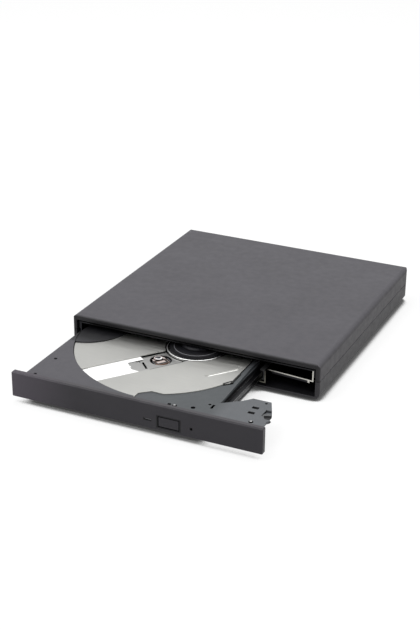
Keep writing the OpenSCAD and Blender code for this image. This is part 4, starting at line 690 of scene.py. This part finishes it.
coil = bmesh.new()
coil_half, coil_far = HOLDER_HALF + COIL_CLEAR, HOLDER_FAR + COIL_CLEAR
for turn in range(COIL_TURNS):
    tube(coil, [on_slot(LENS[0] + side * coil_half, across, COIL_LOW + COIL_PITCH * turn) for side, across in
                ((-1, COIL_NEAR), (1, COIL_NEAR), (1, coil_far), (-1, coil_far), (-1, COIL_NEAR))], COIL_WIRE)
piece("focus_coil", "lens", "coil_copper", coil, FINISH["fine_copper"])

yokes = bmesh.new()
for middle in (LENS[0] - YOKE_OFF, LENS[0] + YOKE_OFF):
    slab(yokes, slot_rect(middle - YOKE_HALF, middle + YOKE_HALF, YOKE_NEAR, YOKE_FAR),
         YOKE_LOW, SLED_TOP + 0.1, rounding=0.08)
piece("yokes", "sled", "frame_metal", yokes, FINISH["sled_metal"])

wires = bmesh.new()
for z in WIRE_Z:
    for along in (LENS[0] - WIRE_OFF, LENS[0] + WIRE_OFF):
        tube(wires, [on_slot(along, HOLDER_FAR - 0.2, z), on_slot(along, WIRE_END, z)], WIRE_R)
piece("suspension_wires", "lens", "spring_steel", wires)

# Flat cable of the pickup: a sheet in the slot, a stem down to the pickup's end and a tail down to the rods
SLOT_LOW, SLOT_HIGH = -3.65, 11.45
SLED_OUT, NOSE_OUT = 31.5, 38.4
NOSE_MID = (SLED_OUT + NOSE_OUT) / 2
WELL_R, ROD_OUT = 60.7, 73.0
RIBBON_TOP, RIBBON_T = 11.8, 0.15
RIBBON_LOW, RIBBON_HIGH = SLOT_LOW + 0.2, SLOT_HIGH - 0.2
RIBBON_OUT, RIBBON_TAIL = RIBBON_LOW - 1.4, RIBBON_LOW + 6.8
RIBBON_START, RIBBON_END = SLED_OUT - 2.5, WELL_R - 4.2
NOSE_LOW, NOSE_TOP = SLED_TOP + 0.32, 11.5
AXIS_TOP = 8.7

ribbon = bmesh.new()
slab(ribbon, slot_outline((
    (RIBBON_START, RIBBON_OUT), (RIBBON_END, RIBBON_OUT), (RIBBON_END, RIBBON_LOW), (ROD_OUT, RIBBON_LOW),
    (ROD_OUT, RIBBON_TAIL), (WELL_R + 1.0, RIBBON_TAIL), (WELL_R + 1.0, RIBBON_HIGH),
    (SLED_OUT + 0.1, RIBBON_HIGH), (SLED_OUT + 0.1, SLOT_HIGH - 0.3), (NOSE_MID + 1.2, SLOT_HIGH - 0.7),
    (NOSE_OUT + 0.3, SLOT_LOW + 10.0), (NOSE_OUT - 0.3, SLOT_LOW + 7.2), (NOSE_OUT - 1.1, SLOT_LOW + 3.2),
    (RIBBON_START, SLOT_LOW + 3.2))), RIBBON_TOP - RIBBON_T, RIBBON_TOP)
slab(ribbon, slot_rect(NOSE_OUT - 0.8, NOSE_OUT + 0.6, SLOT_LOW + 6.4, SLOT_LOW + 7.8),
     NOSE_LOW, RIBBON_TOP - RIBBON_T / 2)
slab(ribbon, slot_rect(ROD_OUT - RIBBON_T, ROD_OUT, RIBBON_LOW, RIBBON_TAIL),
     AXIS_TOP, RIBBON_TOP - RIBBON_T / 2)
ribbon_piece = piece("pickup_ribbon", "tray", "ribbon_film", ribbon, replaces="pickup_cable")
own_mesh(ribbon_piece)

# End sheet of the pickup, under the cable
nose = bmesh.new()
slab(nose, slot_outline((
    (SLED_OUT + 1.5, SLOT_LOW + 2.4), (NOSE_OUT - 0.4, SLOT_LOW + 2.4), (NOSE_OUT + 0.4, SLOT_LOW + 7.0),
    (NOSE_OUT + 1.0, SLOT_LOW + 10.2), (NOSE_MID + 1.8, SLOT_HIGH - 0.3), (SLED_OUT + 1.5, SLOT_HIGH - 0.3))),
    NOSE_LOW, NOSE_TOP)
piece("pickup_nose", "sled", "pickup_sheet", nose)

# Flat cable between the rear board and the tray: flat lanes on the pan, and a loop up to the tray's board
FLEX_T, FLEX_W = 0.15, 10.0
FLEX_LOW, FLEX_HIGH = 4.02, 6.1
LANE_OUT, LANE = -8.0, 6.0
FLEX_FRONT, FLEX_BEND, FLEX_REAR, FLEX_TRAY = 23.0, 58.3, 84.9, 19.6
LANE_END, LAP = FLEX_BEND - 8.0, 0.2
BEND_STEPS = 12

flex = bmesh.new()
slab(flex, ((LANE, FLEX_FRONT), (LANE + FLEX_W, FLEX_FRONT), (LANE + FLEX_W, FLEX_REAR), (LANE, FLEX_REAR),
            (LANE, FLEX_FRONT + FLEX_W), (LANE_OUT + FLEX_W, FLEX_FRONT + FLEX_W),
            (LANE_OUT + FLEX_W, LANE_END), (LANE_OUT, LANE_END), (LANE_OUT, FLEX_FRONT)),
     FLEX_LOW, FLEX_LOW + FLEX_T)
bend_mid = (FLEX_LOW + FLEX_HIGH + FLEX_T) / 2
bend_r = (FLEX_HIGH - FLEX_LOW) / 2
route = [(LANE_END - LAP, -bend_r, 0.0, -1.0)]
route += [(FLEX_BEND + bend_r * math.sin(a), -bend_r * math.cos(a), math.sin(a), -math.cos(a))
          for a in (math.pi * i / BEND_STEPS for i in range(BEND_STEPS + 1))]
route += [(FLEX_TRAY, bend_r, 0.0, 1.0)]
half = FLEX_T / 2
skin(flex, [[flex.verts.new((x, y + side * half * out_y, bend_mid + rise + side * half * out_z))
             for side, x in ((1, LANE_OUT), (1, LANE_OUT + FLEX_W), (-1, LANE_OUT + FLEX_W), (-1, LANE_OUT))]
            for y, rise, out_y, out_z in route], 0)
flex_piece = piece("flex_loop", None, "flex_film", flex, replaces="flex_cable")
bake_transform(flex_piece)

# Spring of the pusher: one wire swept along a helix
SPRING_AT, SPRING_Z = -53.3, 8.0
SPRING_START, SPRING_END, SPRING_STOP = 8.1, 19.0, 7.8
SPRING_TURNS, SPRING_STEPS, SPRING_SIDES = 7, 20, 8
SPRING_R, SPRING_WIRE = 1.95, 0.25

spring = bmesh.new()
spring_count = SPRING_TURNS * SPRING_STEPS
coils = []
for i in range(spring_count + 1):
    a = 2.0 * math.pi * i / SPRING_STEPS
    y = SPRING_START + (SPRING_END - SPRING_START) * i / spring_count
    coils.append([])
    for b in turn_steps(SPRING_SIDES):
        r = SPRING_R + SPRING_WIRE * math.cos(b)
        coils[-1].append(spring.verts.new((SPRING_AT + r * math.cos(a), y + SPRING_WIRE * math.sin(b),
                                           SPRING_Z + r * math.sin(a))))
skin(spring, coils, SPRING_SIDES)
spring_piece = piece("spring_coil", "tray", "spring_steel", spring, replaces="eject_spring")
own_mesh(spring_piece)

# Ridge pressed up in the silver plate, in a paler copy of the plate's metal as a painted highlight: arches
# along it, each a share of the way and of the full size
RIDGE_MID, RIDGE_TURN, RIDGE_HALF = Vector((23.2, -51.0)), math.radians(51.0), 8.2
RIDGE_LOW, RIDGE_W, RIDGE_H = 12.38, 0.5, 0.12
RIDGE_ARCHES = ((-1.0, 0.3), (-0.94, 0.85), (-0.9, 1.0), (0.9, 1.0), (0.94, 0.85), (1.0, 0.3))
ARCH_STEPS = 8

ridge = bmesh.new()
run = Vector((math.cos(RIDGE_TURN), math.sin(RIDGE_TURN)))
sideways = Vector((-run.y, run.x))
arches = []
for share, size in RIDGE_ARCHES:
    middle = RIDGE_MID + share * RIDGE_HALF * run
    arches.append([])
    for step in range(ARCH_STEPS + 1):
        a = math.pi * step / ARCH_STEPS
        flat = middle + size * RIDGE_W / 2 * math.cos(a) * sideways
        arches[-1].append(ridge.verts.new((flat.x, flat.y, RIDGE_LOW + size * RIDGE_H * math.sin(a))))
skin(ridge, arches, ARCH_STEPS)
piece("plate_ridge", "tray", "plate_metal", ridge, FINISH["ridge_highlight_metal"])

# Steel pins set in the deck
PIN_PROFILE = ((0.02, 12.2), (0.66, 12.2), (0.66, 12.45), (0.5, 12.58), (0.02, 12.62))

pins = bmesh.new()
for x, y in PINS:
    lathe(pins, (x / MM, y / MM), PIN_PROFILE, turns=24)
piece("deck_pins", "tray", "screw_steel", pins, FINISH["pin_steel"])


# Camera, at the photograph's viewing angle

AZIMUTH, ELEVATION, ROLL = (math.radians(a) for a in (24.73, 24.35, -0.56))
CAMERA_AT = Vector((0.2662, -0.5944, 0.3118))
SENSOR, FOCAL = 36.0, 80.34
back = Vector((math.sin(AZIMUTH) * math.cos(ELEVATION), -math.cos(AZIMUTH) * math.cos(ELEVATION),
               math.sin(ELEVATION)))
right = Vector((math.cos(AZIMUTH), math.sin(AZIMUTH), 0.0))
down = (-back).cross(right)
turned_right = math.cos(ROLL) * right + math.sin(ROLL) * down
turned_down = -math.sin(ROLL) * right + math.cos(ROLL) * down
camera_data = bpy.data.cameras.new("camera")
camera_data.sensor_width = SENSOR
camera_data.lens = FOCAL
camera = bpy.data.objects.new("camera", camera_data)
axes = Matrix((turned_right, -turned_down, back)).transposed().to_4x4()
camera.matrix_world = Matrix.Translation(CAMERA_AT) @ axes
scene.collection.objects.link(camera)
scene.camera = camera


# World, floor and lamps

WHITE = (1.0, 1.0, 1.0, 1.0)
AMBIENT = 0.55
FLOOR_SIZE, FLOOR_COLOUR, FLOOR_GLOW = 4.0, (0.86, 0.86, 0.86, 1.0), 0.80
# Reach, samples and darkest glow of the painted contact shadow on the floor
CONTACT, CONTACT_SAMPLES, CONTACT_WHITE = 0.0066, 16, 0.05
CONTACT_START, CONTACT_END = 0.50, 0.68


def shown_ray(tree):
    """1 for rays that show the background: camera, glossy and transmission rays."""
    path = tree.nodes.new("ShaderNodeLightPath")
    total = path.outputs["Is Camera Ray"]
    for name in ("Is Glossy Ray", "Is Transmission Ray"):
        node = tree.nodes.new("ShaderNodeMath")
        node.operation = "MAXIMUM"
        tree.links.new(total, node.inputs[0])
        tree.links.new(path.outputs[name], node.inputs[1])
        total = node.outputs["Value"]
    return total


def mixed(tree, amount, lit, shown, output):
    """Sends one of two shaders to an output, by the kind of ray."""
    node = tree.nodes.new("ShaderNodeMixShader")
    tree.links.new(amount, node.inputs["Fac"])
    tree.links.new(lit, node.inputs[1])
    tree.links.new(shown, node.inputs[2])
    tree.links.new(node.outputs["Shader"], tree.nodes.new(output).inputs["Surface"])


world = bpy.data.worlds.new("studio")
scene.world = world
world.use_nodes = True
sky = world.node_tree
sky.nodes.clear()
sky_light, sky_shown = (fill(sky.nodes.new("ShaderNodeBackground"), Color=WHITE, Strength=strength)
                        for strength in (AMBIENT, 1.0))
mixed(sky, shown_ray(sky), sky_light.outputs["Background"], sky_shown.outputs["Background"],
      "ShaderNodeOutputWorld")

floor_mesh = bpy.data.meshes.new("floor")
floor_mesh.from_pydata([(x * FLOOR_SIZE, y * FLOOR_SIZE, 0.0)
                        for x, y in ((-1, -1), (1, -1), (1, 1), (-1, 1))], [], [(0, 1, 2, 3)])
floor = bpy.data.objects.new("floor", floor_mesh)
scene.collection.objects.link(floor)
floor_material = bpy.data.materials.new("floor")
floor_material.use_nodes = True
paper = floor_material.node_tree
paper.nodes.clear()
paper_lit = fill(paper.nodes.new("ShaderNodeBsdfDiffuse"), Color=FLOOR_COLOUR)
paper_shown = paper.nodes.new("ShaderNodeEmission")
# Ambient occlusion dims the floor's glow near the part: a painted contact shadow
contact = fill(paper.nodes.new("ShaderNodeAmbientOcclusion"), Distance=CONTACT)
contact.samples = CONTACT_SAMPLES
dimmed = fill(paper.nodes.new("ShaderNodeMapRange"), From_Min=CONTACT_START, From_Max=CONTACT_END,
              To_Min=CONTACT_WHITE, To_Max=1.0)
paper.links.new(contact.outputs["AO"], dimmed.inputs["Value"])
paper.links.new(dimmed.outputs["Result"], paper_shown.inputs["Strength"])
glow = paper.nodes.new("ShaderNodeMath")
glow.operation = "MULTIPLY"
glow.inputs[1].default_value = FLOOR_GLOW
paper.links.new(shown_ray(paper), glow.inputs[0])
mixed(paper, glow.outputs["Value"], paper_lit.outputs["BSDF"], paper_shown.outputs["Emission"],
      "ShaderNodeOutputMaterial")
floor_mesh.materials.append(floor_material)


def lamp(name, place, size, power):
    """A round area lamp that looks at the origin."""
    data = bpy.data.lights.new(name, "AREA")
    data.shape = "DISK"
    data.size = size
    data.energy = power
    item = bpy.data.objects.new(name, data)
    item.location = place
    item.rotation_euler = (-Vector(place)).to_track_quat("-Z", "Y").to_euler()
    scene.collection.objects.link(item)


lamp("key_lamp", (-0.55, -0.45, 1.10), size=0.9, power=9.0)
lamp("fill_lamp", (0.90, -0.25, 0.90), size=0.9, power=4.0)
lamp("top_lamp", (0.05, 0.35, 1.30), size=1.1, power=9.0)

scene.view_settings.view_transform = "Standard"
